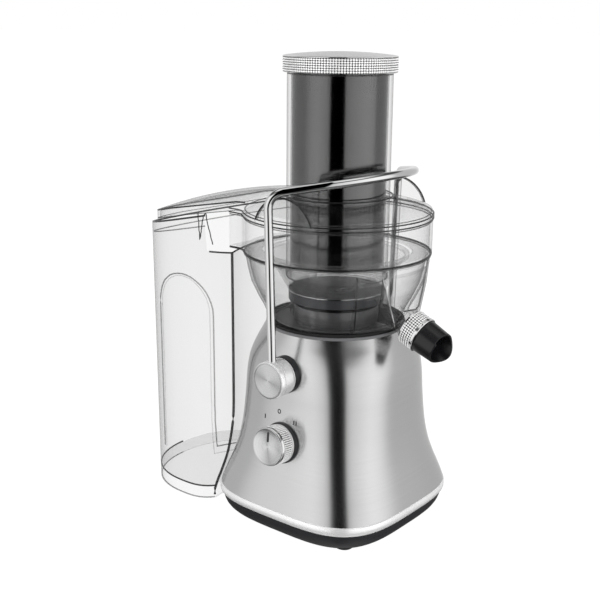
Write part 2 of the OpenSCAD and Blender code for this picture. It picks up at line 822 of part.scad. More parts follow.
module hub_bezels() {
    color("#2b2c2e") for (side = [-1, 1]) hub_side(side) difference() {
        translate([0, 0, bezel_back]) cylinder(r = hub_r, h = hub_back - 0.3 - bezel_back);
        translate([0, 0, bezel_back - 1]) cylinder(r = hub_bore_r, h = 20);
        if (side == -1)
            translate([plunger_off, 0, bezel_back - 1]) cylinder(r = plunger_r + 0.3, h = 20);
    }
}

pin_r = hub_bore_r - run_gap;

module pivot_pins() {
    color("#b0b3b6") for (side = [-1, 1]) hub_side(side) union() {
        translate([0, 0, bezel_back - 5]) cylinder(r = pin_r, h = hub_bore_end - 1 - bezel_back + 5);
        translate([0, 0, bezel_back - 3]) cylinder(r = 7.4, h = 3);
    }
}

module interlock_plunger() {
    color("#c9a227") hub_side(-1) translate([plunger_off, 0, bezel_back - 10])
        cylinder(r = plunger_r, h = hub_back - 0.3 - bezel_back + 10);
}

switch_low = pivot_z - 13;      // the interlock switch stands 2 mm clear of the motor's bracket
switch_h = bracket_z - 2 - switch_low;

module interlock_switch() {
    color("#202124") difference() {
        translate([plunger_off - 2, -bezel_back + 3, switch_low]) cube([12, 10, switch_h]);
        hub_side(-1) translate([plunger_off, 0, bezel_back - 12.4]) cylinder(r = plunger_r + 0.3, h = 13.4);
        hub_side(-1) translate([0, 0, bezel_back - 20]) cylinder(r = 8, h = 22);
    }
}

// ---- knob and switch ----

module knob_face() {
    color("#d0d2d3") knob_place() translate([0, 0, -2.5]) cylinder(r = knob_r - 0.8, h = 2.5);
}

module knob_grip() {
    color("#c4c7ca") knob_place() difference() {
        translate([0, 0, -knob_len]) cylinder(r = knob_r, h = knob_len - 2.5);
        translate([0, 0, -knob_len - 1]) cylinder(r = knob_shaft_r, h = knob_len - 5);
    }
}

bezel_low = -34;

module knob_bezel() {
    color("#2b2c2e") knob_place() difference() {
        translate([0, 0, bezel_low]) cylinder(r = dial_r, h = -bezel_low - knob_len - 0.4);
        translate([0, 0, bezel_low - 1]) cylinder(r = knob_shaft_r + run_gap, h = 30);
    }
}

module rotary_switch() {
    color("#e6e2d8") knob_place() difference() {
        translate([-9, -11, bezel_low - 10]) cube([18, 22, 10]);
        translate([0, 0, bezel_low - 6]) cylinder(r = knob_shaft_r + run_gap, h = 10);
    }
}

module switch_shaft() {
    color("#b0b3b6") knob_place() translate([0, 0, bezel_low - 5])
        cylinder(r = knob_shaft_r, h = -6.5 - bezel_low + 5);
}

// ---- spout ----

module spout_nut() {
    color("#c9cbcc") spout_axis() rotate([0, 90, 0]) difference() {
        cylinder(r1 = nut_r - 0.5, r2 = nut_r, h = nut_len);
        translate([0, 0, -1]) cylinder(r = boss_out_r + run_gap, h = boss_end + 2.5);
        cylinder(r = nozzle_neck_r + run_gap, h = 2 * nut_len);
    }
}

module spout_o_ring() {
    color("#151515") spout_axis() rotate([0, 90, 0]) translate([0, 0, boss_end])
        ring(boss_out_r - 0.3, spout_bore_r, 0.5);
}

module spout_nozzle() {
    color("#17181a") spout_axis() rotate([0, 90, 0]) difference() {
        union() {
            translate([0, 0, boss_end + 0.6]) cylinder(r = flange_r, h = 0.8);
            translate([0, 0, boss_end + 0.6]) cylinder(r = nozzle_neck_r, h = 6);
            translate([0, 0, nut_len + 0.1]) cylinder(r1 = nut_r - 1, r2 = nut_r - 2.5, h = nozzle_len);
        }
        cylinder(r = spout_bore_r, h = nut_len + 8);
        translate([0, 0, nut_len + 4]) cylinder(r1 = spout_bore_r, r2 = nut_r - 4.5, h = nozzle_len);
        // the mouth is cut on a slant, so one lip is longer than the rest
        translate([0, 0, nut_len + nozzle_len - 5.5]) rotate([0, 0, lip_turn])
            rotate([0, -lip_slope, 0]) translate([-40, -40, 0]) cube([80, 80, 40]);
    }
}

// ---- electrics ----

module control_board() {
    color("#1f5d3a") union() {
        translate([-24, 52, body_z + 42]) cube([48, 1.6, 62]);
        translate([-18, 53.6, body_z + 50]) cube([14, 7, 12]);
        translate([4, 53.6, body_z + 56]) cube([12, 6, 20]);
        translate([-16, 53.6, body_z + 80]) cube([26, 4, 10]);
    }
}

cord_r = 3.5;

module cord_gland() {
    color("#1b1b1c") translate([0, 0, gland_z]) rotate([-90, 0, 0]) difference() {
        union() {
            translate([0, 0, 76]) cylinder(r = 8, h = 13);
            translate([0, 0, 89]) cylinder(r = 10, h = 4);
        }
        translate([0, 0, 70]) cylinder(r = cord_r, h = 30);
    }
}

base_plate();
rubber_feet();
base_screws();
chrome_trim();
steel_body();
top_deck();
motor_can();
stator_core();
armature();
motor_shaft();
commutator();
carbon_brushes();
lower_bearing();
upper_bearing();
cooling_fan();
motor_bracket();
bracket_screws();
rubber_dampers();
shaft_seal();
drive_coupling();
bowl_seal();
juice_bowl();
pulp_ring();
basket_hub();
grating_disc();
sieve_cone();
sieve_rim();
lid();
feed_tube();
pusher_tube();
pusher_cap_ring();
pusher_cap_top();
pulp_bin();
lock_arm();
front_hub();
rear_hub();
hub_bezels();
pivot_pins();
interlock_switch();
interlock_plunger();
knob_face();
knob_grip();
knob_bezel();
rotary_switch();
switch_shaft();
spout_nut();
spout_nozzle();
spout_o_ring();
control_board();
cord_gland();
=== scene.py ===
import math

import bmesh
import bpy
from mathutils import Matrix, Vector


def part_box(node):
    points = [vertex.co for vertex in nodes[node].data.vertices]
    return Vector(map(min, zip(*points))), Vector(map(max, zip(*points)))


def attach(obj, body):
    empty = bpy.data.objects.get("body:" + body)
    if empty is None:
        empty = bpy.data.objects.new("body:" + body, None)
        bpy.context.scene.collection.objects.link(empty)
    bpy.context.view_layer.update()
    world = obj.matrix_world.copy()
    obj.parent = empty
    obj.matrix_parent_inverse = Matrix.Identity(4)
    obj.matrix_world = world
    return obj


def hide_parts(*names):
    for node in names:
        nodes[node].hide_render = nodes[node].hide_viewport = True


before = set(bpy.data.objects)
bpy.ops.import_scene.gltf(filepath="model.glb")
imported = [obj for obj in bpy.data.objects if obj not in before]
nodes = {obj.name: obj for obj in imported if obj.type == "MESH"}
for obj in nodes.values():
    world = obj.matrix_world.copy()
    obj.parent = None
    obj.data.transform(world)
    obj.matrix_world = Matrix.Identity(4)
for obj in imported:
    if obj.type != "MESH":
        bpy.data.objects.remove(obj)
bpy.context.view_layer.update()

mm = 0.001
print("stage: frame loaded")

# camera, set as the machine is seen from its right front corner, a little from above
view = {
    "place": (0.54696, -0.72492, 0.45258), "turn": 0.6827, "dip": 0.2662, "roll": 0.0089,
    "lens": 61.85, "film": 36, "near": 0.02,
}


def makeCamera():
    t, p, q = view["turn"], view["dip"], view["roll"]
    ahead = Vector((-math.sin(t) * math.cos(p), math.cos(t) * math.cos(p), -math.sin(p)))
    right = Vector((math.cos(t), math.sin(t), 0))
    up = right.cross(ahead)
    side = right * math.cos(q) + up * math.sin(q)
    top = -right * math.sin(q) + up * math.cos(q)
    cam = bpy.data.objects.new("mainCamera", bpy.data.cameras.new("mainCamera"))
    cam.matrix_world = Matrix((
        (side.x, top.x, -ahead.x, view["place"][0]),
        (side.y, top.y, -ahead.y, view["place"][1]),
        (side.z, top.z, -ahead.z, view["place"][2]),
        (0, 0, 0, 1)))
    cam.data.lens = view["lens"]
    cam.data.sensor_width = view["film"]
    cam.data.clip_start = view["near"]
    bpy.context.scene.collection.objects.link(cam)
    bpy.context.scene.camera = cam


makeCamera()


# node helpers for the materials

def newMaterial(name):
    mat = bpy.data.materials.new(name)
    mat.use_nodes = True
    tree = mat.node_tree
    return mat, tree, tree.nodes["Principled BSDF"]


def addNode(tree, kind, **values):
    n = tree.nodes.new(kind)
    for k, v in values.items():
        setattr(n, k, v)
    return n


def wire(tree, a, b):
    tree.links.new(a, b)


def objectPoint(tree, scale=(1, 1, 1)):
    tc = addNode(tree, "ShaderNodeTexCoord")
    mp = addNode(tree, "ShaderNodeMapping")
    mp.inputs["Scale"].default_value = scale
    wire(tree, tc.outputs["Object"], mp.inputs["Vector"])
    return mp.outputs["Vector"]


def ramp(tree, source, stops):
    # stops are rows of (place, grey) or (place, colour)
    r = addNode(tree, "ShaderNodeValToRGB")
    e = r.color_ramp.elements
    while len(e) < len(stops):
        e.new(0.5)
    for k, (at, c) in enumerate(stops):
        e[k].position = at
        e[k].color = (c, c, c, 1) if isinstance(c, (int, float)) else (*c, 1)
    wire(tree, source, r.inputs["Fac"])
    return r.outputs["Color"]


def maths(tree, op, a, b=None):
    n = addNode(tree, "ShaderNodeMath", operation=op)
    for k, v in enumerate([a, b]):
        if v is None:
            continue
        if isinstance(v, (int, float)):
            n.inputs[k].default_value = v
        else:
            wire(tree, v, n.inputs[k])
    return n.outputs[0]


def addBump(tree, bsdf, height, strength, distance):
    b = addNode(tree, "ShaderNodeBump")
    b.inputs["Strength"].default_value = strength
    b.inputs["Distance"].default_value = distance
    wire(tree, height, b.inputs["Height"])
    wire(tree, b.outputs["Normal"], bsdf.inputs["Normal"])


def grain(tree, size, detail, stretch=(1, 1, 1)):
    n = addNode(tree, "ShaderNodeTexNoise")
    n.inputs["Scale"].default_value = size
    n.inputs["Detail"].default_value = detail
    wire(tree, objectPoint(tree, stretch), n.inputs["Vector"])
    return n.outputs["Fac"]


def brushedSteel(name, colour=0.75, lines=(8, 8, 2600), rough=(0.235, 0.255), aniso=0.45):
    # fine level brush lines, which draw reflections out up and down
    mat, tree, b = newMaterial(name)
    b.inputs["Metallic"].default_value = 1
    b.inputs["Anisotropic"].default_value = aniso
    b.inputs["Anisotropic Rotation"].default_value = 0.25
    g = grain(tree, 1.0, 4, lines)
    c = ramp(tree, g, [(0.25, colour * 0.965), (0.75, colour * 1.025)])
    wire(tree, c, b.inputs["Base Color"])
    wire(tree, ramp(tree, g, [(0.2, rough[0]), (0.8, rough[1])]), b.inputs["Roughness"])
    t = addNode(tree, "ShaderNodeTangent", direction_type="RADIAL", axis="Z")
    wire(tree, t.outputs["Tangent"], b.inputs["Tangent"])
    addBump(tree, b, g, 0.006, 0.00002)
    return mat


# the rays of light are a painted reflection: the colour is made lighter and darker by the angle
# round the centre
spun = {
    "rings": 2600, "rough": 0.22, "paintedRaysTurn": 0.55, "paintedRays": [(0.0, 0.72), (0.45, 0.95), (0.9, 1.12)],
}


def spunSteel(name, colour, centre, axis):
    # a turned face: fine rings about its own centre, and rays of light from its middle painted into
    # the colour as a painted reflection
    mat, tree, b = newMaterial(name)
    b.inputs["Metallic"].default_value = 1
    b.inputs["Anisotropic"].default_value = 0.75
    a = Vector(axis).normalized()
    u = a.orthogonal().normalized()
    v = a.cross(u)
    tc = addNode(tree, "ShaderNodeTexCoord")
    off = addNode(tree, "ShaderNodeVectorMath", operation="SUBTRACT")
    wire(tree, tc.outputs["Object"], off.inputs[0])
    off.inputs[1].default_value = centre
    parts = []
    for w in (u, v):
        d = addNode(tree, "ShaderNodeVectorMath", operation="DOT_PRODUCT")
        wire(tree, off.outputs["Vector"], d.inputs[0])
        d.inputs[1].default_value = w
        parts.append(d.outputs["Value"])
    squares = [maths(tree, "MULTIPLY", p, p) for p in parts]
    far = maths(tree, "SQRT", maths(tree, "ADD", squares[0], squares[1]))
    turn = maths(tree, "ARCTAN2", parts[1], parts[0])
    rings = addNode(tree, "ShaderNodeTexNoise", noise_dimensions="1D")
    rings.inputs["Scale"].default_value = spun["rings"]
    rings.inputs["Detail"].default_value = 2
    wire(tree, far, rings.inputs["W"])
    swung = maths(tree, "ADD", turn, spun["paintedRaysTurn"])
    # painted reflection: rays of light from the middle, painted into the colour
    paintedRays = maths(tree, "ABSOLUTE", maths(tree, "COSINE", swung))
    shade = maths(tree, "MULTIPLY", ramp(tree, paintedRays, spun["paintedRays"]),
                  ramp(tree, rings.outputs["Fac"], [(0.3, 0.88), (0.7, 1.06)]))
    mix = addNode(tree, "ShaderNodeVectorMath", operation="SCALE")
    mix.inputs[0].default_value = (colour, colour, colour * 1.01)
    wire(tree, shade, mix.inputs["Scale"])
    wire(tree, mix.outputs["Vector"], b.inputs["Base Color"])
    rough = spun["rough"]
    wire(tree, ramp(tree, rings.outputs["Fac"], [(0.2, rough * 0.8), (0.8, rough * 1.4)]),
         b.inputs["Roughness"])
    addBump(tree, b, rings.outputs["Fac"], 0.15, 0.0001)
    return mat


def chromePlate(name, colour=0.88, rough=0.035, metal=1.0):
    mat, tree, b = newMaterial(name)
    b.inputs["Metallic"].default_value = metal
    g = grain(tree, 60, 4)
    wire(tree, ramp(tree, g, [(0.3, colour * 0.97), (0.7, colour)]), b.inputs["Base Color"])
    wire(tree, ramp(tree, grain(tree, 25, 5), [(0.35, rough), (0.8, rough * 1.5)]),
         b.inputs["Roughness"])
    addBump(tree, b, g, 0.008, 0.0002)
    return mat


def mouldedPlastic(name, colour, rough, pebble, size=1400):
    mat, tree, b = newMaterial(name)
    g = grain(tree, size, 3)
    dark = tuple(0.8 * c for c in colour)
    wire(tree, ramp(tree, g, [(0.3, dark), (0.7, colour)]), b.inputs["Base Color"])
    wire(tree, ramp(tree, grain(tree, 40, 4), [(0.3, rough * 0.85), (0.7, rough * 1.15)]),
         b.inputs["Roughness"])
    addBump(tree, b, g, pebble, 0.0002)
    return mat


def clearPlastic(name, edge=0.03, least=0.03, most=0.85, power=2.6, tint=0.97, gloss=0.03):
    # see-through when faced, darker where the wall is seen on edge, with a thin clean gloss
    mat, tree, b = newMaterial(name)
    g = grain(tree, 18, 4)
    wire(tree, ramp(tree, g, [(0.3, edge), (0.7, edge * 1.2)]), b.inputs["Base Color"])
    wire(tree, ramp(tree, g, [(0.3, 0.3), (0.8, 0.4)]), b.inputs["Roughness"])
    b.inputs["Specular IOR Level"].default_value = 0.15
    clear = addNode(tree, "ShaderNodeBsdfTransparent")
    clear.inputs["Color"].default_value = (tint, tint, tint, 1)
    w = addNode(tree, "ShaderNodeLayerWeight")
    w.inputs["Blend"].default_value = 0.5
    steep = maths(tree, "POWER", w.outputs["Facing"], power)
    fac = maths(tree, "ADD", maths(tree, "MULTIPLY", steep, most - least), least)
    mix = addNode(tree, "ShaderNodeMixShader")
    wire(tree, fac, mix.inputs["Fac"])
    wire(tree, clear.outputs[0], mix.inputs[1])
    wire(tree, b.outputs[0], mix.inputs[2])
    shine = addNode(tree, "ShaderNodeBsdfGlossy")
    shine.inputs["Color"].default_value = (0.9, 0.9, 0.9, 1)
    wire(tree, ramp(tree, g, [(0.3, 0.04), (0.8, 0.09)]), shine.inputs["Roughness"])
    bump = addNode(tree, "ShaderNodeBump")
    bump.inputs["Strength"].default_value = 0.05
    bump.inputs["Distance"].default_value = 0.0006
    wire(tree, g, bump.inputs["Height"])
    wire(tree, bump.outputs["Normal"], shine.inputs["Normal"])
    top = addNode(tree, "ShaderNodeMixShader")
    sheen = maths(tree, "ADD", maths(tree, "MULTIPLY", steep, gloss * 3), gloss)
    wire(tree, sheen, top.inputs["Fac"])
    wire(tree, mix.outputs[0], top.inputs[1])
    wire(tree, shine.outputs[0], top.inputs[2])
    wire(tree, top.outputs[0], tree.nodes["Material Output"].inputs["Surface"])
    return mat


# mesh helpers

ringSteps = 192         # points round one squarish ring
mergeGap = 1e-6         # points closer than this are one


def makePiece(name, verts, faces, body, mat, slot=None, stands=(), smooth=True, sharp=35,
              merge=True):
    # stands are the CAD nodes that the piece stands for
    mesh = bpy.data.meshes.new(name)
    mesh.from_pydata([tuple(v) for v in verts], [], faces)
    mesh.validate()
    bm = bmesh.new()
    bm.from_mesh(mesh)
    if merge:
        bmesh.ops.remove_doubles(bm, verts=bm.verts, dist=mergeGap)
    bmesh.ops.recalc_face_normals(bm, faces=bm.faces)
    bm.to_mesh(mesh)
    bm.free()
    if smooth:
        mesh.shade_smooth()
        mesh.set_sharp_from_angle(angle=math.radians(sharp))
    piece = bpy.data.objects.new(name, mesh)
    bpy.context.scene.collection.objects.link(piece)
    mesh.materials.append(mat)
    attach(piece, body)
    if stands:
        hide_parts(*stands)
    return piece


def stitch(rings, loop=False, caps=(False, False)):
    # faces between neighbouring closed rings of points
    n = len(rings[0])
    verts = [p for r in rings for p in r]
    faces = []
    m = len(rings)
    for a in range(m if loop else m - 1):
        b = (a + 1) % m
        for i in range(n):
            j = (i + 1) % n
            faces.append((a * n + i, a * n + j, b * n + j, b * n + i))
    if caps[0]:
        faces.append(tuple(range(n))[::-1])
    if caps[1]:
        faces.append(tuple((m - 1) * n + i for i in range(n)))
    return verts, faces


def smoothTable(table, t):
    # smooth value from rows of (place, value, value, ...) at the place t
    rows = sorted(table)
    if t <= rows[0][0]:
        return rows[0][1:]
    for k in range(len(rows) - 1):
        a, b = rows[k], rows[k + 1]
        if t <= b[0]:
            p = rows[k - 1] if k else a
            q = rows[k + 2] if k + 2 < len(rows) else b
            u = (t - a[0]) / (b[0] - a[0])
            out = []
            for c in range(1, len(a)):
                ma = (b[c] - p[c]) / (b[0] - p[0]) * (b[0] - a[0])
                mb = (q[c] - a[c]) / (q[0] - a[0]) * (b[0] - a[0])
                out.append((2 * u**3 - 3 * u**2 + 1) * a[c] + (u**3 - 2 * u**2 + u) * ma
                           + (3 * u**2 - 2 * u**3) * b[c] + (u**3 - u**2) * mb)
            return tuple(out)
    return rows[-1][1:]


def squareRing(half, n, z):
    # a ring between a circle, n = 2, and a square, n large
    pts = []
    for i in range(ringSteps):
        t = 2 * math.pi * i / ringSteps
        c, s = math.cos(t), math.sin(t)
        pts.append((half * math.copysign(abs(c) ** (2 / n), c),
                    half * math.copysign(abs(s) ** (2 / n), s), z))
    return pts


def along(axis, origin):
    # frame whose Z runs along axis, for lathed pieces
    z = Vector(axis).normalized()
    x = Vector((0, 1, 0)).cross(z) if abs(z.y) < 0.9 else Vector((1, 0, 0))
    x = (x - z * x.dot(z)).normalized()
    y = z.cross(x)
    return Matrix.Translation(origin) @ Matrix((x, y, z)).transposed().to_4x4()


def lathePiece(name, profile, body, mat, place=None, count=96, **more):
    # profile is rows of (radius, height) in mm
    turns = [2 * math.pi * i / count for i in range(count)]
    rings = [[(r * mm * math.cos(t), r * mm * math.sin(t), z * mm) for t in turns]
             for r, z in profile]
    verts, faces = stitch(rings)
    if place is not None:
        verts = [place @ Vector(v) for v in verts]
    return makePiece(name, verts, faces, body, mat, **more)


def knurlBand(name, radius, low, high, columns, rows, depth, body, place=None, **more):
    # rows of small raised squares between grooves; radius, low, high and depth in mm
    lands = [(0.0, 1), (0.2, 0), (0.68, 0), (0.88, 1)]      # place in one square, groove or not
    rings, deep = [], []
    for j in range(4 * rows + 1):
        row, sunk = divmod(j, 4)
        at, groove = lands[sunk]
        z = low + (high - low) * (row + at) / rows
        ring = []
        for i in range(4 * columns):
            col, part = divmod(i, 4)
            a = 2 * math.pi * (col + lands[part][0]) / columns
            down = groove or lands[part][1]
            deep.append(down)
            reach = radius - depth * down
            ring.append(Vector((reach * math.cos(a), reach * math.sin(a), z)) * mm)
        rings.append(ring)
    verts, faces = stitch(rings)
    if place is not None:
        verts = [place @ Vector(v) for v in verts]
    piece = makePiece(name, verts, faces, body, knurlChrome, "bright_trim", smooth=False,
                      merge=False, **more)
    # the groove faces take a near black finish: painted shade in the grooves
    piece.data.materials.append(grooveShade)
    for face in piece.data.polygons:
        if sum(deep[v] for v in face.vertices) >= 3:
            face.material_index = 1


def paint(mat, *names):
    for n in names:
        mesh = nodes[n].data
        mesh.materials.clear()
        mesh.materials.append(mat)


print("stage: helpers ready")

# finishes

bodySteel = brushedSteel("bodyBrushed")
capSteel = brushedSteel("capBrushed", 0.8, (1400, 8, 8), (0.25, 0.35), 0.3)
chrome = chromePlate("armChrome")
trimChrome = chromePlate("trimChrome", 0.95, 0.22, 0.55)
knurlChrome = chromePlate("knurlChrome", 0.97, 0.25, 0.3)
darkPan = mouldedPlastic("panGrey", (0.02, 0.02, 0.022), 0.3, 0.15)
deckGrey = mouldedPlastic("deckGrey", (0.14, 0.14, 0.145), 0.3, 0.1)
nozzleBlack = mouldedPlastic("nozzleBlack", (0.006, 0.006, 0.007), 0.3, 0.1)
footRubber = mouldedPlastic("footRubber", (0.012, 0.012, 0.012), 0.7, 0.5, 900)
markBlack = mouldedPlastic("markBlack", (0.02, 0.02, 0.02), 0.45, 0.1)
# painted shade: a near black finish for the knurls' grooves, where shade falls between the squares
grooveShade = chromePlate("grooveShade", 0.05, 0.5, 0.2)
bowlClear = clearPlastic("bowlClear", least=0.01, most=0.65, power=4.0, tint=0.96)
ringClear = clearPlastic("ringClear", least=0.01, most=0.4, power=5.0, tint=0.965)
lidClear = clearPlastic("lidClear", least=0.01, most=0.4, power=5.0, tint=0.95)
tubeClear = clearPlastic("tubeClear", edge=0.12, least=0.0, most=0.7, power=4.5, gloss=0.012)
binClear = clearPlastic("binClear", edge=0.3, least=0.01, most=0.75, power=3.6, tint=0.9,
                        gloss=0.015)
ribClear = clearPlastic("ribClear", edge=0.05, least=0.3, most=0.8, power=1.4)
rimClear = clearPlastic("rimClear", edge=0.012, least=0.75, most=0.97, power=1.0, gloss=0.02)
# painted shade: a dark, mostly solid finish for the sheet set inside the bowl
wedgeShade = clearPlastic("wedgeShade", edge=0.02, least=0.45, most=0.9, power=1.2)
paleClear = clearPlastic("paleClear", edge=0.45, least=0.04, most=0.4, power=3.0)


def smokePlastic():
    mat, tree, b = newMaterial("pusherSmoke")
    g = grain(tree, 30, 4)
    b.inputs["Metallic"].default_value = 1
    wire(tree, ramp(tree, g, [(0.3, 0.185), (0.7, 0.2)]), b.inputs["Base Color"])
    wire(tree, ramp(tree, g, [(0.3, 0.1), (0.8, 0.14)]), b.inputs["Roughness"])
    addBump(tree, b, g, 0.006, 0.0002)
    return mat


def sieveMetal():
    # stamped sheet with fine holes in even rows
    mat, tree, b = newMaterial("sieveSheet")
    b.inputs["Metallic"].default_value = 1
    v = addNode(tree, "ShaderNodeTexVoronoi")
    v.inputs["Scale"].default_value = 620
    v.inputs["Randomness"].default_value = 0.15
    wire(tree, objectPoint(tree), v.inputs["Vector"])
    hole = ramp(tree, v.outputs["Distance"], [(0.22, 0.0), (0.32, 1.0)])
    # the holes are coloured dark at their rims, a painted shade in the holes
    tone = addNode(tree, "ShaderNodeMix", data_type="RGBA")
    wire(tree, hole, tone.inputs["Factor"])
    tone.inputs["A"].default_value = (0.2, 0.2, 0.2, 1)
    tone.inputs["B"].default_value = (0.92, 0.92, 0.93, 1)
    wire(tree, tone.outputs["Result"], b.inputs["Base Color"])
    wire(tree, ramp(tree, hole, [(0.0, 0.6), (1.0, 0.28)]), b.inputs["Roughness"])
    addBump(tree, b, hole, 0.4, 0.0003)
    clear = addNode(tree, "ShaderNodeBsdfTransparent")
    mix = addNode(tree, "ShaderNodeMixShader")
    wire(tree, ramp(tree, hole, [(0.0, 0.0), (1.0, 0.2)]), mix.inputs["Fac"])
    wire(tree, clear.outputs[0], mix.inputs[1])
    wire(tree, b.outputs[0], mix.inputs[2])
    wire(tree, mix.outputs[0], tree.nodes["Material Output"].inputs["Surface"])
    return mat


def motorPaint(name, colour):
    mat, tree, b = newMaterial(name)
    b.inputs["Metallic"].default_value = 0.7
    g = grain(tree, 1, 3, (60, 60, 1500))
    wire(tree, ramp(tree, g, [(0.3, tuple(0.8 * c for c in colour)), (0.7, colour)]),
         b.inputs["Base Color"])
    wire(tree, ramp(tree, g, [(0.3, 0.35), (0.7, 0.5)]), b.inputs["Roughness"])
    addBump(tree, b, g, 0.2, 0.0004)
    return mat


smoke = smokePlastic()
sieve = sieveMetal()
canGrey = motorPaint("motorGrey", (0.3, 0.31, 0.32))
copper = motorPaint("windingCopper", (0.55, 0.27, 0.13))
screwSteel = brushedSteel("screwSteel", 0.6, (900, 900, 20), (0.25, 0.4), 0.2)
boardGreen = mouldedPlastic("boardGreen", (0.02, 0.12, 0.06), 0.35, 0.3, 300)
switchCream = mouldedPlastic("switchCream", (0.7, 0.68, 0.62), 0.45, 0.2)
hubGrey = mouldedPlastic("basketGrey", (0.045, 0.046, 0.05), 0.25, 0.08)

paint(footRubber, "rubber_feet", "rubber_dampers", "bowl_seal", "shaft_seal", "spout_o_ring")
paint(screwSteel, "base_screws", "bracket_screws", "motor_shaft", "pivot_pins", "switch_shaft",
      "lower_bearing", "upper_bearing")
paint(canGrey, "motor_can", "motor_bracket", "stator_core")
paint(copper, "armature", "commutator", "interlock_plunger")
paint(nozzleBlack, "carbon_brushes", "cooling_fan", "drive_coupling", "interlock_switch",
      "cord_gland")
paint(darkPan, "hub_bezels")
paint(deckGrey, "top_deck")
paint(hubGrey, "basket_hub")
paint(paleClear, "sieve_rim")
paint(sieve, "grating_disc", "sieve_cone")
paint(switchCream, "rotary_switch")
paint(boardGreen, "control_board")
paint(bowlClear, "juice_bowl")
paint(ringClear, "pulp_ring")
paint(lidClear, "lid")
paint(tubeClear, "feed_tube")
paint(smoke, "pusher_tube")
print("stage: finishes ready")

# base and steel body

steelBody = {
    # share of the height, share of the flare, share of the draw-in at the neck, squareness
    "rows": [(0, 1, 0, 3.5), (0.045, 0.89, 0, 3.45), (0.097, 0.735, 0, 3.4),
             (0.168, 0.525, 0, 3.3), (0.265, 0.285, 0, 3.2), (0.394, 0.115, 0, 3.05),
             (0.574, 0.012, 0, 2.9), (0.703, 0, 0.04, 2.8), (0.794, 0, 0.135, 2.65),
             (0.852, 0, 0.3, 2.5), (0.91, 0, 0.54, 2.3), (0.961, 0, 0.79, 2.1), (1, 0, 1, 2)],
    "waist": 74.0, "neck": 63.6, "lip": 1.2, "steps": 70,
}
trimBand = {
    # how far in from the outline in mm, share of the height
    "rows": [(5, 0), (1.3, 0), (0.9, 0.06), (0.4, 0.14), (0.1, 0.26), (0, 0.45), (0, 0.6),
             (0.15, 0.78), (0.5, 0.92), (1.0, 1.0), (5, 1.0)],
    "squareness": 3.5,
}
pan = {
    # share of the height, how far in from the outline in mm
    "rows": [(0.0, 14.0), (0.04, 12.0), (0.13, 9.0), (0.24, 6.2), (0.36, 4.0), (0.52, 2.1),
             (0.67, 1.0), (0.85, 0.25), (1.0, 0.0)],
    "middle": 2.0, "flat": 24.0, "lip": 3.0, "squareness": 3.5,
}


def bodySection(z):
    # half width in metres and squareness of the steel body at the height z
    lo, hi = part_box("steel_body")
    share = (z - lo.z) / (hi.z - lo.z)
    foot = (hi.x - lo.x) / 2 / mm
    flare, neck, n = smoothTable(steelBody["rows"], min(max(share, 0), 1))
    half = steelBody["waist"] + (foot - steelBody["waist"]) * flare \
        - (steelBody["waist"] - steelBody["neck"]) * neck
    return half * mm, n


def makeBody():
    lo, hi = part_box("steel_body")
    rings = []
    for k in range(steelBody["steps"] + 1):
        z = lo.z + (hi.z - lo.z) * k / steelBody["steps"]
        half, n = bodySection(z)
        rings.append(squareRing(half, n, z))
    half, n = bodySection(hi.z)
    rings.append(squareRing(half - steelBody["lip"] * mm, n, hi.z))
    half, n = bodySection(lo.z)
    rings.insert(0, squareRing(half - steelBody["lip"] * mm, n, lo.z))
    verts, faces = stitch(rings)
    makePiece("brushedShell", verts, faces, "base", bodySteel, "brushed_body", ["steel_body"])


def makeTrim():
    lo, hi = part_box("chrome_trim")
    foot = (hi.x - lo.x) / 2
    rings = [squareRing(foot - inset * mm, trimBand["squareness"], lo.z + (hi.z - lo.z) * s)
             for inset, s in trimBand["rows"]]
    verts, faces = stitch(rings)
    makePiece("brightTrim", verts, faces, "base", trimChrome, "bright_trim", ["chrome_trim"],
              sharp=60)


def makePan():
    lo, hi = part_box("base_plate")
    half, n = (hi.x - lo.x) / 2, pan["squareness"]
    rings = [squareRing(pan["middle"] * mm, n, lo.z), squareRing(half - pan["flat"] * mm, n, lo.z)]
    rings += [squareRing(half - inset * mm, n, lo.z + (hi.z - lo.z) * s)
              for s, inset in pan["rows"]]
    rings.append(squareRing(half - pan["lip"] * mm, n, hi.z))
    verts, faces = stitch(rings, caps=(True, False))
    makePiece("basePan", verts, faces, "base", darkPan, "dark_pan", ["base_plate"], sharp=50)


makeBody()
makeTrim()
makePan()
print("stage: base done")

# locking arm

armRod = {
    "rod": 3.74, "foot": 88.9, "top": 95.0, "pivot": 153.0, "bow": 314.5, "corner": 14.0,
    "reach": 64.0, "tilt": 10.8, "turn": 41.3,
    "legStops": (14, 40, 80, 120), "cornerSteps": 16, "bowSteps": 24, "sides": 32,
}


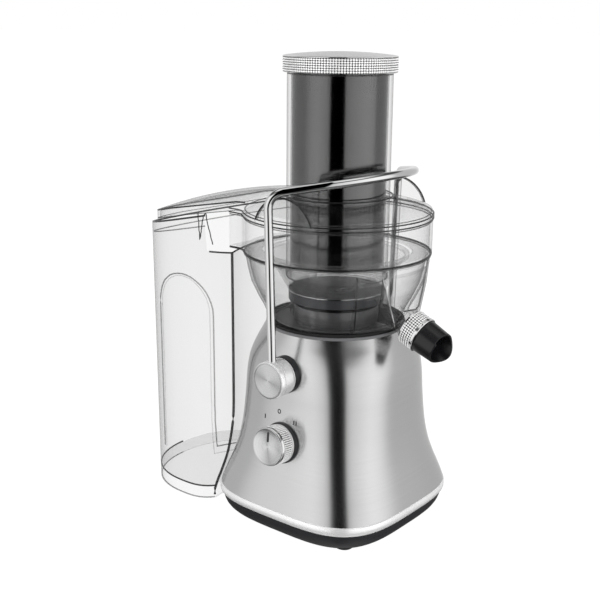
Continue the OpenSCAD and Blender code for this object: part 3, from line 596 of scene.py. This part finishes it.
def makeArm():
    a = armRod
    tilt, turn = math.radians(a["tilt"]), math.radians(a["turn"])
    bowDir = Vector((math.cos(turn) * math.cos(tilt), math.sin(turn),
                     math.cos(turn) * math.sin(tilt)))
    legFoot = Vector((0, -a["foot"], a["pivot"]))
    corner = Vector((0, -a["top"], a["bow"]))
    legDir = (corner - legFoot).normalized()
    bend = math.acos(legDir.dot(bowDir.normalized()))
    cut = a["corner"] * math.tan(bend / 2)
    side = (bowDir - legDir * bowDir.dot(legDir)).normalized()
    start = corner - legDir * cut
    across = Vector((math.cos(tilt), 0, math.sin(tilt)))
    # radius of the bow's front arc, which meets the straight stretches without a kink
    share = math.cos(turn) - math.tan(turn) * (1 - math.sin(turn))
    radius = (a["top"] - a["reach"] * math.tan(turn)) / share
    middle = Vector((0, 0, a["bow"])) + across * (a["reach"] - radius)
    path = [legFoot + legDir * s for s in a["legStops"]]
    for i in range(a["cornerSteps"] + 1):
        t = bend * i / a["cornerSteps"]
        path.append(start + legDir * a["corner"] * math.sin(t)
                    + side * a["corner"] * (1 - math.cos(t)))
    for i in range(a["bowSteps"] + 1):
        t = (math.pi / 2 - turn) * (1 - i / a["bowSteps"])
        path.append(middle + across * radius * math.cos(t)
                    - Vector((0, 1, 0)) * radius * math.sin(t))
    path += [Vector((p.x, -p.y, p.z)) for p in path[-2::-1]]
    turns = [2 * math.pi * j / a["sides"] for j in range(a["sides"])]
    rings = []
    u = Vector((1, 0, 0))
    for k, p in enumerate(path):
        d = (path[min(k + 1, len(path) - 1)] - path[max(k - 1, 0)]).normalized()
        u = (u - d * u.dot(d)).normalized()
        v = d.cross(u)
        rings.append([(p + (u * math.cos(t) + v * math.sin(t)) * a["rod"]) * mm for t in turns])
    verts, faces = stitch(rings, caps=(True, True))
    makePiece("armRod", verts, faces, "lock_arm", chrome, "bright_trim", ["lock_arm"])


hub = {"radius": 16.6, "face": 95.3, "back": 76.5, "tone": 0.72}


def hubFace(name, sign):
    middle = (0, sign * hub["face"] * mm, armRod["pivot"] * mm)
    return spunSteel(name, hub["tone"], middle, (0, 1, 0))


def makeHub(name, sign, faceMat, node):
    r, f, b = hub["radius"], hub["face"], hub["back"]
    place = along((0, sign, 0), Vector((0, 0, armRod["pivot"] * mm)))
    side = [(6.2, b), (13.6, b), (r - 1.0, b + 0.15), (r - 0.3, b + 0.9), (r - 0.3, b + 2.6),
            (r, b + 3.1), (r, b + 4), (r, f - 5.2), (r - 0.35, f - 4.9), (r - 0.35, f - 4.5),
            (r, f - 4.2), (r, f - 1.2), (r - 0.2, f - 0.55), (r - 0.7, f - 0.15)]
    lathePiece(name + "Side", side, "lock_arm", trimChrome, place, slot="brushed_body",
               stands=[node])
    face = [(r - 0.7, f - 0.15), (r - 1.3, f), (r - 1.6, f), (r - 1.8, f - 0.15), (r - 2.0, f),
            (5, f), (0.02, f)]
    lathePiece(name + "Disc", face, "lock_arm", faceMat, place, slot="brushed_body", sharp=20)


makeArm()
makeHub("frontHub", -1, hubFace("frontHubFace", -1), "front_hub")
makeHub("rearHub", 1, hubFace("rearHubFace", 1), "rear_hub")
print("stage: arm done")

# knob

knob = {
    "radius": 17.4, "face": 96.0, "z": 92.3, "tilt": 6.0, "depth": 17.2, "collar": 18.5,
    "columns": 56, "rows": 6, "groove": 0.6,
    "slotAt": 9.0, "slotHalf": 3.4, "slotEnd": 1.25, "slotDepth": 0.24, "slotSteps": 24,
}
knobAxis = Vector((0, -math.cos(math.radians(knob["tilt"])), math.sin(math.radians(knob["tilt"]))))
knobFaceAt = Vector((0, -knob["face"] * mm, knob["z"] * mm))
knobDisc = spunSteel("knobDisc", 0.74, tuple(knobFaceAt), tuple(knobAxis))


def makeKnob():
    r, d, c = knob["radius"], knob["depth"], knob["collar"]
    place = along(knobAxis, knobFaceAt)
    lathePiece("knobCap", [(r - 1.6, -0.9), (r - 1.0, -0.75), (r - 0.75, -0.35), (r - 1.0, -0.08),
                           (r - 1.5, 0), (r - 2.1, -0.25), (6, -0.25), (0.02, -0.25)],
               "knob", knobDisc, place, slot="brushed_body", stands=["knob_face"], sharp=25)
    lathePiece("knobShoulders", [(r - 1.6, -0.9), (r - 0.4, -1.3), (r - 0.1, -1.8),
                                 (r - 0.1, -3.6), (r - 0.6, -3.9)],
               "knob", chrome, place, slot="bright_trim", stands=["knob_grip"])
    knurlBand("knobKnurl", r - 0.1, -d + 3.4, -3.9, knob["columns"], knob["rows"],
              knob["groove"], "knob", place)
    lathePiece("knobFoot", [(r - 0.6, -d + 3.4), (r - 0.1, -d + 3.1), (r - 0.1, -d + 1),
                            (r - 0.8, -d + 0.1), (3.2, -d + 0.1)],
               "knob", trimChrome, place, slot="bright_trim")
    lathePiece("knobCollar", [(3.4, -d - 0.45), (c - 0.6, -d - 0.45), (c - 0.1, -d - 0.7),
                              (c, -d - 1.2), (c, -d - 9)],
               "base", darkPan, place, slot="dark_pan", stands=["knob_bezel"])
    makePointer()


def makePointer():
    # pointer slot, rounded at both ends, near the top of the knob's face
    up = Vector((0, knobAxis.z, -knobAxis.y))
    right = Vector((1, 0, 0))
    at, end = knob["slotAt"], knob["slotEnd"]
    pts = []
    for i in range(knob["slotSteps"]):
        t = 2 * math.pi * i / knob["slotSteps"]
        half = knob["slotHalf"] if math.sin(t) > 0 else -knob["slotHalf"]
        pts.append((end * math.cos(t), at + half + end * math.sin(t)))
    outer = [knobFaceAt + (right * x + up * y) * mm - knobAxis * knob["slotDepth"] * mm
             for x, y in pts]
    inner = [knobFaceAt + (right * x * 0.8 + up * (at + (y - at) * 0.95)) * mm
             - knobAxis * 0.02 * mm for x, y in pts]
    verts, faces = stitch([outer, inner], caps=(False, True))
    makePiece("knobPointer", verts, faces, "knob", markBlack, "black_parts")


def onBody(x, z):
    # a point on the front wall of the steel body, with x and z in mm
    half, n = bodySection(z * mm)
    half /= mm
    y = half * (1 - (abs(x) / half) ** n) ** (1 / n)
    return Vector((x, -(y + marks["lift"]), z)) * mm


def flatMark(name, outline, hole=None):
    # a printed mark: a strip between two outlines, or a filled one, laid on the body
    outer = [onBody(x, z) for x, z in outline]
    if hole:
        inner = [onBody(x, z) for x, z in hole]
        verts, faces = stitch([outer, inner])
    else:
        verts, faces = outer, [tuple(range(len(outer)))]
    makePiece(name, verts, faces, "base", markBlack, "black_parts", smooth=False)


marks = {
    # name, x, height above the knob's middle, half width, half height, stroke of a ring
    "rows": [("markOne", -21, 17.2, 0.55, 2.0, None), ("markOff", -4.5, 25.7, 1.9, 2.2, 0.85),
             ("markTwoA", 12.4, 19.2, 0.55, 2.0, None), ("markTwoB", 14.8, 19.2, 0.55, 2.0, None)],
    "lift": 0.12,
}


def makeMarks():
    def oval(x, z, w, h):
        return [(x + w * math.cos(t * math.pi / 12), z + h * math.sin(t * math.pi / 12))
                for t in range(24)]

    for name, x, rise, w, h, stroke in marks["rows"]:
        z = knob["z"] + rise
        if stroke:
            flatMark(name, oval(x, z, w, h), oval(x, z, w - stroke, h - stroke))
        else:
            flatMark(name, [(x - w, z - h), (x + w, z - h), (x + w, z + h), (x - w, z + h)])


makeKnob()
makeMarks()
print("stage: knob done")

# pusher

cap = {"radius": 50.0, "columns": 130, "rows": 6, "groove": 0.75, "steps": 160, "domeSteps": 24}


def makeCap():
    lo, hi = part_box("pusher_cap_ring")
    z0, z1 = lo.z / mm, hi.z / mm
    r = cap["radius"]
    knurlBand("capKnurl", r, z0 + 1.2, z1 - 1.4, cap["columns"], cap["rows"], cap["groove"],
              "pusher", stands=["pusher_cap_ring"])
    lathePiece("capLowerEdge", [(40, z0 + 0.05), (r - 1.2, z0 + 0.05), (r - 0.3, z0 + 0.3),
                                (r - 0.1, z0 + 0.8), (r - 0.75, z0 + 1.2)],
               "pusher", chrome, count=cap["steps"], slot="bright_trim")
    lathePiece("capUpperEdge", [(r - 0.75, z1 - 1.4), (r - 0.1, z1 - 1.0), (r - 0.2, z1 - 0.5),
                                (r - 0.9, z1 - 0.1), (r - 2.4, z1)],
               "pusher", chrome, count=cap["steps"], slot="bright_trim")
    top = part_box("pusher_cap_top")[1].z / mm
    dome = []
    for k in range(cap["domeSteps"] + 1):
        q = (r - 2.4) * (1 - k / cap["domeSteps"])
        dome.append((max(q, 0.02), z1 + (top - z1) * (1 - (q / (r - 2.4)) ** 2)))
    lathePiece("capDome", dome, "pusher", capSteel, count=cap["steps"], slot="brushed_body",
               stands=["pusher_cap_top"])


makeCap()
print("stage: pusher done")

# spout

spout = {"x": 80.5, "slope": 24.0, "rise": 5.8, "nut": 16.5, "nutLen": 15.5,
         "columns": 44, "rows": 5, "groove": 0.7}
beak = {
    # shares of the length, outside and inside
    "outer": (0.0, 0.03, 0.1, 0.25, 0.45, 0.65, 0.82, 0.94, 0.985, 1.0),
    "inner": (1.0, 0.9, 0.6, 0.3, 0.0),
    "root": 15.2, "taper": 1.1, "bore": 9.0, "flare": 3.2,
    "length": 34.6, "lip": 6.6, "lipWidth": 52, "scoop": 1.6, "scoopWidth": 60,
    "turn": 125.0, "steps": 72,
}


def spoutFrame():
    t = math.radians(spout["slope"])
    axis = Vector((math.cos(t), 0, -math.sin(t)))
    up = Vector((math.sin(t), 0, math.cos(t)))
    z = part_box("bowl_seal")[1].z / mm + spout["rise"]
    m = Matrix((up, Vector((0, 1, 0)), axis)).transposed().to_4x4()   # X up, Y far side, Z outwards
    return Matrix.Translation(Vector((spout["x"], 0, z)) * mm) @ m


def makeNut(place):
    r, h = spout["nut"], spout["nutLen"]
    lathePiece("nutBack", [(11.6, 0.05), (r - 1.3, 0.05), (r - 0.75, 0.5), (r - 0.9, 1.3)],
               "base", chrome, place, slot="bright_trim", stands=["spout_nut"])
    knurlBand("nutKnurl", r - 0.25, 1.3, h - 2.8, spout["columns"], spout["rows"],
              spout["groove"], "base", place)
    lathePiece("nutFront", [(r - 0.9, h - 3.2), (r - 0.15, h - 2.9), (r - 0.05, h - 2.0),
                            (r - 0.1, h - 0.6), (r - 0.7, h - 0.05), (10.1, h - 0.05)],
               "base", chrome, place, slot="bright_trim")


def beakReach(a):
    # length of the nozzle at the angle a: one long lip, and a scoop opposite
    d = (math.degrees(a) - beak["turn"] + 180) % 360 - 180
    return beak["length"] + beak["lip"] * math.exp(-(d / beak["lipWidth"]) ** 2) \
        - beak["scoop"] * math.exp(-((d + 175) / beak["scoopWidth"]) ** 2)


def makeBeak(place):
    # turning nozzle: a short tube with a scooped mouth
    z0 = spout["nutLen"] + 0.15
    turns = [2 * math.pi * i / beak["steps"] for i in range(beak["steps"])]
    # share of the length, radius, how far the edge is drawn back
    rows = [(s, (beak["root"] if s > 0 else beak["root"] - 0.6) - beak["taper"] * s
             - (0.35 if s == 1 else 0), 0) for s in beak["outer"]]
    rows += [(s, beak["bore"] + beak["flare"] * s, 0.2 if s == 1 else 0) for s in beak["inner"]]
    rings = [[place @ (Vector((q * math.cos(a), q * math.sin(a),
                               z0 + (beakReach(a) - z0) * s - back)) * mm) for a in turns]
             for s, q, back in rows]
    verts, faces = stitch(rings)
    makePiece("nozzleBeak", verts, faces, "nozzle", nozzleBlack, "black_parts",
              ["spout_nozzle"], sharp=60)


makeNut(spoutFrame())
makeBeak(spoutFrame())
print("stage: spout done")

# pulp bin

pulpBin = {
    # height, x of the near wall, depth of the hollow in it
    "rows": [(0, -97, 4), (15, -95.4, 4), (31, -88.5, 7), (52, -80, 8), (72, -75, 10),
             (92, -71.8, 12), (120, -71, 14), (290, -71, 14.3)],
    "middle": -130.0, "half": 74.0, "reach": 200.0,
    # how far it widens, to the sides and to the far end, over the height
    "sideSpread": 1.5, "endSpread": 2, "spreadOver": 290,
    # squareness of the two ends, share of the near one that is left, half width of the hollow
    "farSquare": 2.2, "nearSquare": 3, "nearShare": 0.766, "hollowHalf": 61,
    "rim": 252.6, "slant": 0.217, "farEnd": -233, "notch": -93.0, "notchDrop": 2.1,
    "floor": 13.5, "steps": 200, "levels": 44,
    # x and height of the points of the catch's edge
    "catch": [(-102, 284), (-101.5, 272), (-100.5, 259), (-98.5, 270), (-96.5, 281), (-94, 284),
              (-91, 270), (-87, 253)],
    # name, side, angle, radius of the bead and finish of the near corners
    "corners": [("binFrontCorner", -1, 318, 1.25, rimClear),
                ("binRearCorner", 1, 42, 0.6, ribClear)],
}


def binPoint(t, z, inset=0.0):
    # a point of the bin's outline at the angle t and the height z, in mm
    edge, hollow = smoothTable(pulpBin["rows"], z)
    rise = z / pulpBin["spreadOver"]
    half = pulpBin["half"] + pulpBin["sideSpread"] * rise - inset
    left = pulpBin["reach"] + pulpBin["middle"] + pulpBin["endSpread"] * rise - inset
    right = (edge - pulpBin["middle"]) / pulpBin["nearShare"] - inset
    c, s = math.cos(t), math.sin(t)
    n = pulpBin["farSquare"] if c < 0 else pulpBin["nearSquare"]
    x = pulpBin["middle"] + (left if c < 0 else right) * math.copysign(abs(c) ** (2 / n), c)
    y = half * math.copysign(abs(s) ** (2 / n), s)
    wall = edge - inset - hollow * max(0, 1 - (y / pulpBin["hollowHalf"]) ** 2)
    return Vector((min(x, wall), y, z))


def binRim(x):
    # height of the slanted rim, and of its low stretch under the chute
    if x > pulpBin["notch"]:
        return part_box("pulp_ring")[0].z / mm - pulpBin["notchDrop"]
    return pulpBin["rim"] + pulpBin["slant"] * (x - pulpBin["farEnd"])


def binColumn(t):
    top = binRim(binPoint(t, 200).x)
    return [binPoint(t, top * k / pulpBin["levels"]) * mm for k in range(pulpBin["levels"] + 1)]


def binAngles():
    return [2 * math.pi * i / pulpBin["steps"] for i in range(pulpBin["steps"])]


def makeBin():
    rings = list(zip(*[binColumn(t) for t in binAngles()]))
    verts, faces = stitch(rings)
    makePiece("binShell", verts, faces, "bin", binClear, "clear_plastic", ["pulp_bin"])
    low = [binPoint(t, pulpBin["floor"], 2.3) * mm for t in binAngles()]
    mid = sum(low, Vector()) / len(low)
    inner = [p.lerp(mid, 0.97) for p in low]
    verts, faces = stitch([low, inner], caps=(False, True))
    makePiece("binFloor", verts, faces, "bin", binClear, "clear_plastic")


beadSides = 10          # points round a bead
beadRing = 120          # points along a closed ring


def tubePiece(name, path, radius, body, mat, closed=False, slot="clear_plastic"):
    # a small round bead along a path in metres, with its radius in mm
    turns = [2 * math.pi * j / beadSides for j in range(beadSides)]
    rings = []
    u = Vector((0, 0, 1))
    n = len(path)
    for k, p in enumerate(path):
        a = path[(k - 1) % n] if closed or k else path[0]
        b = path[(k + 1) % n] if closed or k < n - 1 else path[-1]
        d = (b - a).normalized()
        side = d.cross(u)
        if side.length < 0.1:
            side = d.cross(Vector((1, 0, 0)))
        side.normalize()
        v = side.cross(d)
        rings.append([p + (side * math.cos(t) + v * math.sin(t)) * radius * mm for t in turns])
    verts, faces = stitch(rings, loop=closed, caps=(not closed, not closed))
    makePiece(name, verts, faces, body, mat, slot)


def frontWall(x, z, inset):
    # the point of the bin's front wall nearest to x, at the height z
    return min((binPoint(math.pi + 0.02 + k * math.pi / 400, z, inset) for k in range(400)),
               key=lambda p: abs(p.x - x) + (50 if p.y > 0 else 0))


def makeBinTrim():
    rim = []
    for t in binAngles():
        p = binPoint(t, 200, 0.9)
        if p.x < pulpBin["notch"]:
            rim.append(Vector((p.x, p.y, binRim(p.x) - 0.9)) * mm)
    # order the rim from the rear notch round the far end to the front one
    rim.sort(key=lambda p: math.atan2(p.y, p.x + 0.13) % (2 * math.pi))
    tubePiece("binRimBead", rim, 0.9, "bin", rimClear)
    tubePiece("binRimBand", [p - Vector((0, 0, 9.5)) * mm for p in rim], 0.6, "bin", ribClear)
    front = [math.pi + 0.05 + 0.71 * math.pi * k / 60 for k in range(61)]
    tubePiece("binFootBead", [binPoint(t, 1.0, 0.9) * mm for t in front], 0.6, "bin", ribClear)
    tubePiece("binFloorBead", [binPoint(t, pulpBin["floor"], 0.8) * mm for t in front], 0.8,
              "bin", rimClear)
    tubePiece("binFootRing", [binPoint(t, 1.0, 1.0) * mm for t in binAngles()], 0.4,
              "bin", paleClear, closed=True)
    line = []
    for (x0, z0), (x1, z1) in zip(pulpBin["catch"], pulpBin["catch"][1:]):
        line += [frontWall(x0 + (x1 - x0) * q / 6, z0 + (z1 - z0) * q / 6, 0.9) * mm
                 for q in range(6)]
    tubePiece("binCatchEdge", line, 0.5, "bin", rimClear)
    for name, sign, angle, thick, mat in pulpBin["corners"]:
        best = min(binAngles(), key=lambda t: abs(math.degrees(t) - angle))
        corner = []
        for k in range(40):
            z = 4 + (binRim(-72) - 5) * k / 39
            near = [binPoint(best + d * 0.02, z, 0.8) for d in range(-14, 15)]
            corner.append(max(near, key=lambda q: q.x + 0.55 * sign * q.y) * mm)
        tubePiece(name, corner, thick, "bin", mat)
    top = []
    for t in binAngles():
        p = binPoint(t, 240, 0.8)
        if p.x > pulpBin["notch"] + 1:
            top.append(Vector((p.x, p.y, binRim(p.x) - 0.8)) * mm)
    top.sort(key=lambda p: p.y)
    tubePiece("binLowRim", top, 0.8, "bin", rimClear)


panel = {"middle": -123, "half": 35, "low": 42, "shoulder": 188, "spring": 190, "head": 34}


def makeArch():
    # pressed panel with a round head on the bin's front wall
    m, half = panel["middle"], panel["half"]
    rise = [panel["low"] + (panel["shoulder"] - panel["low"]) * k / 17 for k in range(18)]
    turns = [math.pi - math.pi * k / 20 for k in range(1, 20)]
    shape = [(m - half, z) for z in rise]
    shape += [(m + half * math.cos(t), panel["spring"] + panel["head"] * math.sin(t))
              for t in turns]
    shape += [(m + half, z) for z in rise[::-1]]
    tubePiece("binPanelEdge", [frontWall(x, z, 0.7) * mm for x, z in shape], 0.65,
              "bin", ribClear)
    top = panel["spring"]
    step = [(m + (x - m) * 0.9, top + (z - top) * 0.94 if z > top else z) for x, z in shape]
    tubePiece("binPanelStep", [frontWall(x, z, 0.9) * mm for x, z in step], 0.45,
              "bin", binClear)


makeBin()
makeBinTrim()
makeArch()
print("stage: bin done")

# moulded edges of the clear bowls and the lid

chute = {"radius": 84.8, "half": 56.0, "reach": 80.0, "fillet": 20.0}
wing = {"sphere": 377, "drop": 107.3, "sphereAt": -50, "near": -60, "half": 58,
        "middle": -130, "long": 66.5, "wide": 69, "open": 0.18, "squareness": 2.3}
fin = {"at": 7, "radius": 32.1, "side": 83.2, "thick": 1.2, "drop": 6.1, "from": 20, "sweep": 140}
bulge = {
    # distance from the tube's axis, height
    "rows": [(82.2, 246), (80.4, 226), (78.2, 212), (75.8, 199.5), (72.6, 196.3), (62.4, 194.6)],
    "turn": 41,
}


def chuteLine(z, grow):
    # open outline of the ring and its chute, from the front end of the chute to the rear one
    r, half, f = chute["radius"] + grow, chute["half"] + grow, chute["fillet"] - grow
    cx = -math.sqrt((r + f) ** 2 - (half + f) ** 2)
    end = -chute["reach"]
    turn = math.atan2(half + f, cx)
    side = [(end + (cx - end) * k / 4, -half) for k in range(5)]
    for k in range(1, 9):
        t = math.pi / 2 - (math.pi / 2 - (math.pi - turn)) * k / 8
        side.append((cx + f * math.cos(t), -(half + f) + f * math.sin(t)))
    turns = [-turn + 2 * turn * k / 140 for k in range(1, 140)]
    ring = [(r * math.cos(t), r * math.sin(t)) for t in turns]
    pts = side + ring + [(x, -y) for x, y in side[::-1]]
    return [Vector((x, y, z)) * mm for x, y in pts]


def ringLine(r, z):
    turns = [2 * math.pi * k / beadRing for k in range(beadRing)]
    return [Vector((r * math.cos(t), r * math.sin(t), z)) * mm for t in turns]


def wingPoint(x, y, drop):
    # the lid's wing lies on a large sphere
    r = wing["sphere"]
    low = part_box("feed_tube")[1].z / mm - wing["drop"] - r
    return Vector((x, y, low + math.sqrt(r ** 2 - (x - wing["sphereAt"]) ** 2 - y * y) - drop)) * mm


def wingLine(drop, grow):
    n, half = wing["squareness"], wing["half"] + grow
    pts = [(wing["near"] - 2 * k, -half) for k in range(6)]
    for k in range(61):
        t = -math.pi / 2 - wing["open"] - (math.pi - 2 * wing["open"]) * k / 60
        c, s = math.cos(t), math.sin(t)
        pts.append((wing["middle"] + (wing["long"] + grow) * math.copysign(abs(c) ** (2 / n), c),
                    (wing["wide"] + grow) * math.copysign(abs(s) ** (2 / n), s)))
    pts += [(wing["near"] - 2 * k, half) for k in range(5, -1, -1)]
    return [wingPoint(x, y, drop) for x, y in pts]


def makeEdges():
    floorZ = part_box("pulp_ring")[0].z / mm
    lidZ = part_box("pulp_ring")[1].z / mm + 0.3
    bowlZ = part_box("juice_bowl")[0].z / mm
    tubeLow, tubeTop = [c.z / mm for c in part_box("feed_tube")]
    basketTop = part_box("basket_hub")[1].z / mm
    # name, line, radius of the bead, finish, closed or not
    for name, line, radius, mat, closed in (
            ("chuteFloorEdge", chuteLine(floorZ + 0.9, -0.9), 0.95, rimClear, False),
            ("ringTopEdge", chuteLine(lidZ - 1.4, -0.8), 0.5, ribClear, False),
            ("flangeLowEdge", chuteLine(lidZ + 0.7, 0.2), 0.6, rimClear, False),
            ("flangeTopEdge", chuteLine(lidZ + 4.0, 0.1), 0.6, rimClear, False),
            ("domeFoot", ringLine(82.6, lidZ + 5.6), 0.5, ribClear, True),
            ("domeCollar", ringLine(48.6, lidZ + 18.8), 0.6, rimClear, True),
            ("wingTopEdge", wingLine(0.8, -0.8), 0.75, rimClear, False),
            ("wingLowEdge", wingLine(8.4, -0.6), 0.45, ribClear, False),
            ("bowlTopEdge", ringLine(83.2, floorZ - 1.0), 0.6, ribClear, True),
            ("bowlFootEdge", ringLine(61.4, bowlZ + 0.8), 0.8, rimClear, True),
            ("bowlFootStep", ringLine(62.8, bowlZ + 6.2), 0.5, ribClear, True),
            ("tubeTopEdge", ringLine(45.4, tubeTop - 0.6), 0.5, ribClear, True),
            ("tubeLowEdge", ringLine(45.4, tubeLow + 0.6), 0.5, ribClear, True)):
        tubePiece(name, line, radius, "base", mat, closed)
    tubePiece("basketRimLight", ringLine(43.2, basketTop - 0.6), 0.6, "spinner", chrome,
              closed=True, slot="bright_trim")
    for name, sign in (("Front", -1), ("Rear", 1)):
        makeFin(name, sign, lidZ)
        t = sign * math.radians(bulge["turn"])
        rib = [Vector((r * math.cos(t), r * math.sin(t), z)) * mm for r, z in bulge["rows"]]
        tubePiece("bulgeEdge" + name, rib, 0.7, "base", rimClear)


def makeFin(name, sign, lidZ):
    turns = [math.radians(fin["from"] + fin["sweep"] * k / 32) for k in range(33)]
    r, z = fin["radius"], lidZ - fin["drop"]
    for edge, off, radius, mat in (("Out", fin["thick"], 0.85, rimClear),
                                   ("In", -fin["thick"], 0.5, ribClear)):
        y = sign * (fin["side"] + off)
        arc = [Vector((fin["at"] + r * math.cos(t), y, z + r * math.sin(t))) * mm for t in turns]
        tubePiece("fin" + name + edge, arc, radius, "base", mat)


shadeWedgePoints = {"low": (53.5, -9.5, 197), "wide": (71.6, -9.6, 196), "high": (57.6, -9.5, 236.4),
       "wall": 1.2}


def makeShadeWedge():
    # a thin dark sheet inside the bowl, painted shade for a dark wedge there, with a chrome bead
    # down its edge as a painted highlight
    low, wide, high = [Vector(shadeWedgePoints[k]) for k in ("low", "wide", "high")]
    across = (wide - low).cross(Vector((0, 0, 1))).normalized() * shadeWedgePoints["wall"] / 2
    foot = [low.lerp(wide, k / 8) for k in range(9)]
    rings = []
    for k in range(13):
        rear = [(q.lerp(high, k / 12) - across) * mm for q in foot[::-1]]
        rings.append(rear + [(q.lerp(high, k / 12) + across) * mm for q in foot])
    verts, faces = stitch(rings, caps=(True, True))
    makePiece("shadeWedge", verts, faces, "base", wedgeShade, "clear_plastic")
    # a chrome bead as a painted highlight down the sheet's edge, and a dark bead as painted shade
    # down its back
    for name, start, radius, mat in (("wedgeHighlight", wide, 0.6, chrome),
                                     ("shadeWedgeBack", low, 0.7, rimClear)):
        tubePiece(name, [start.lerp(high, k / 12) * mm for k in range(13)], radius, "base", mat)


makeEdges()
makeShadeWedge()
print("stage: edges done")

# studio

studio = {
    "floorHalf": 30, "floorDrop": 0.0002, "floorGlow": 0.98,
    # name, place, size, power; each looks at the middle of the machine
    "lamps": [("keyLeft", (-1.1, -1.5, 1.3), (0.9, 1.4), 26),
              ("fillRight", (1.7, -0.5, 0.9), (0.8, 1.4), 22),
              ("topSoft", (-0.1, 0.1, 2.2), (1.6, 1.6), 14)],
    "middle": (0, 0, 0.2),
    # degrees from the side that the machine is seen from, brightness: a dark slot there,
    # bright soft walls either side, grey beyond
    "walls": [(-180, 0.8), (-150, 0.6), (-120, 0.53), (-92, 0.54), (-70, 0.9), (-52, 0.98),
              (-36, 0.84), (-25, 0.62), (-20, 0.0), (11, 0.0), (15, 0.62), (30, 0.8),
              (48, 0.92), (68, 1.05), (82, 1.0), (92, 0.86), (101, 0.52), (125, 0.51),
              (148, 0.55), (165, 0.78), (180, 0.8)],
    # share of the way from straight down to straight up, brightness
    "levels": [(0.0, 0.5), (0.12, 0.12), (0.24, 0.12), (0.3, 1.0), (0.74, 1.0), (0.8, 0.14),
               (0.88, 0.14), (0.94, 0.9), (1.0, 1.0)],
    "bounces": 40,
}


def makeFloor():
    floorMat, tree, b = newMaterial("floorPale")
    g = grain(tree, 6, 3)
    wire(tree, ramp(tree, g, [(0.3, 0.1), (0.7, 0.104)]), b.inputs["Base Color"])
    b.inputs["Roughness"].default_value = 0.75
    b.inputs["Specular IOR Level"].default_value = 0
    b.inputs["Emission Color"].default_value = (1, 1, 1, 1)
    b.inputs["Emission Strength"].default_value = studio["floorGlow"]
    mesh = bpy.data.meshes.new("studioFloor")
    w, z = studio["floorHalf"], -studio["floorDrop"]
    mesh.from_pydata([(-w, -w, z), (w, -w, z), (w, w, z), (-w, w, z)], [], [(0, 1, 2, 3)])
    mesh.materials.append(floorMat)
    floor = bpy.data.objects.new("studioFloor", mesh)
    bpy.context.scene.collection.objects.link(floor)
    floor.visible_glossy = False


def softLight(name, place, size, power):
    lamp = bpy.data.lights.new(name, "AREA")
    lamp.shape = "RECTANGLE"
    lamp.size, lamp.size_y = size
    lamp.energy = power
    o = bpy.data.objects.new(name, lamp)
    o.location = place
    o.rotation_mode = "QUATERNION"
    o.rotation_quaternion = (Vector(studio["middle"]) - Vector(place)).to_track_quat("-Z", "Y")
    o.visible_glossy = False
    bpy.context.scene.collection.objects.link(o)


def makeWorld():
    world = bpy.data.worlds.new("studioWorld")
    world.use_nodes = True
    bpy.context.scene.world = world
    t = world.node_tree
    back = t.nodes["Background"]
    tc = addNode(t, "ShaderNodeTexCoord")
    sep = addNode(t, "ShaderNodeSeparateXYZ")
    wire(t, tc.outputs["Generated"], sep.inputs[0])
    # angle from the machine's seen side, looking down on it, as 0 to 1 for a whole turn
    seenSide = math.atan2(view["place"][1], view["place"][0])
    turn = maths(t, "ARCTAN2", sep.outputs["Y"], sep.outputs["X"])
    wrapped = addNode(t, "ShaderNodeMath", operation="WRAP")
    wire(t, maths(t, "SUBTRACT", turn, seenSide), wrapped.inputs[0])
    wrapped.inputs[1].default_value = math.pi
    wrapped.inputs[2].default_value = -math.pi
    share = maths(t, "ADD", maths(t, "DIVIDE", wrapped.outputs[0], 2 * math.pi), 0.5)
    walls = ramp(t, share, [(0.5 + a / 360, v) for a, v in studio["walls"]])
    rise = maths(t, "ADD", maths(t, "MULTIPLY", sep.outputs["Z"], 0.5), 0.5)
    mixed = addNode(t, "ShaderNodeMix", data_type="RGBA", blend_type="MULTIPLY")
    mixed.inputs["Factor"].default_value = 1
    wire(t, walls, mixed.inputs["A"])
    wire(t, ramp(t, rise, studio["levels"]), mixed.inputs["B"])
    path = addNode(t, "ShaderNodeLightPath")
    seen = addNode(t, "ShaderNodeMix", data_type="RGBA")
    wire(t, path.outputs["Is Camera Ray"], seen.inputs["Factor"])
    wire(t, mixed.outputs["Result"], seen.inputs["A"])
    seen.inputs["B"].default_value = (1, 1, 1, 1)
    wire(t, seen.outputs["Result"], back.inputs["Color"])
    back.inputs["Strength"].default_value = 1


makeFloor()
for lampRow in studio["lamps"]:
    softLight(*lampRow)
makeWorld()
bpy.context.scene.view_settings.view_transform = "Standard"
bpy.context.scene.cycles.transparent_max_bounces = studio["bounces"]
print("stage: studio done")
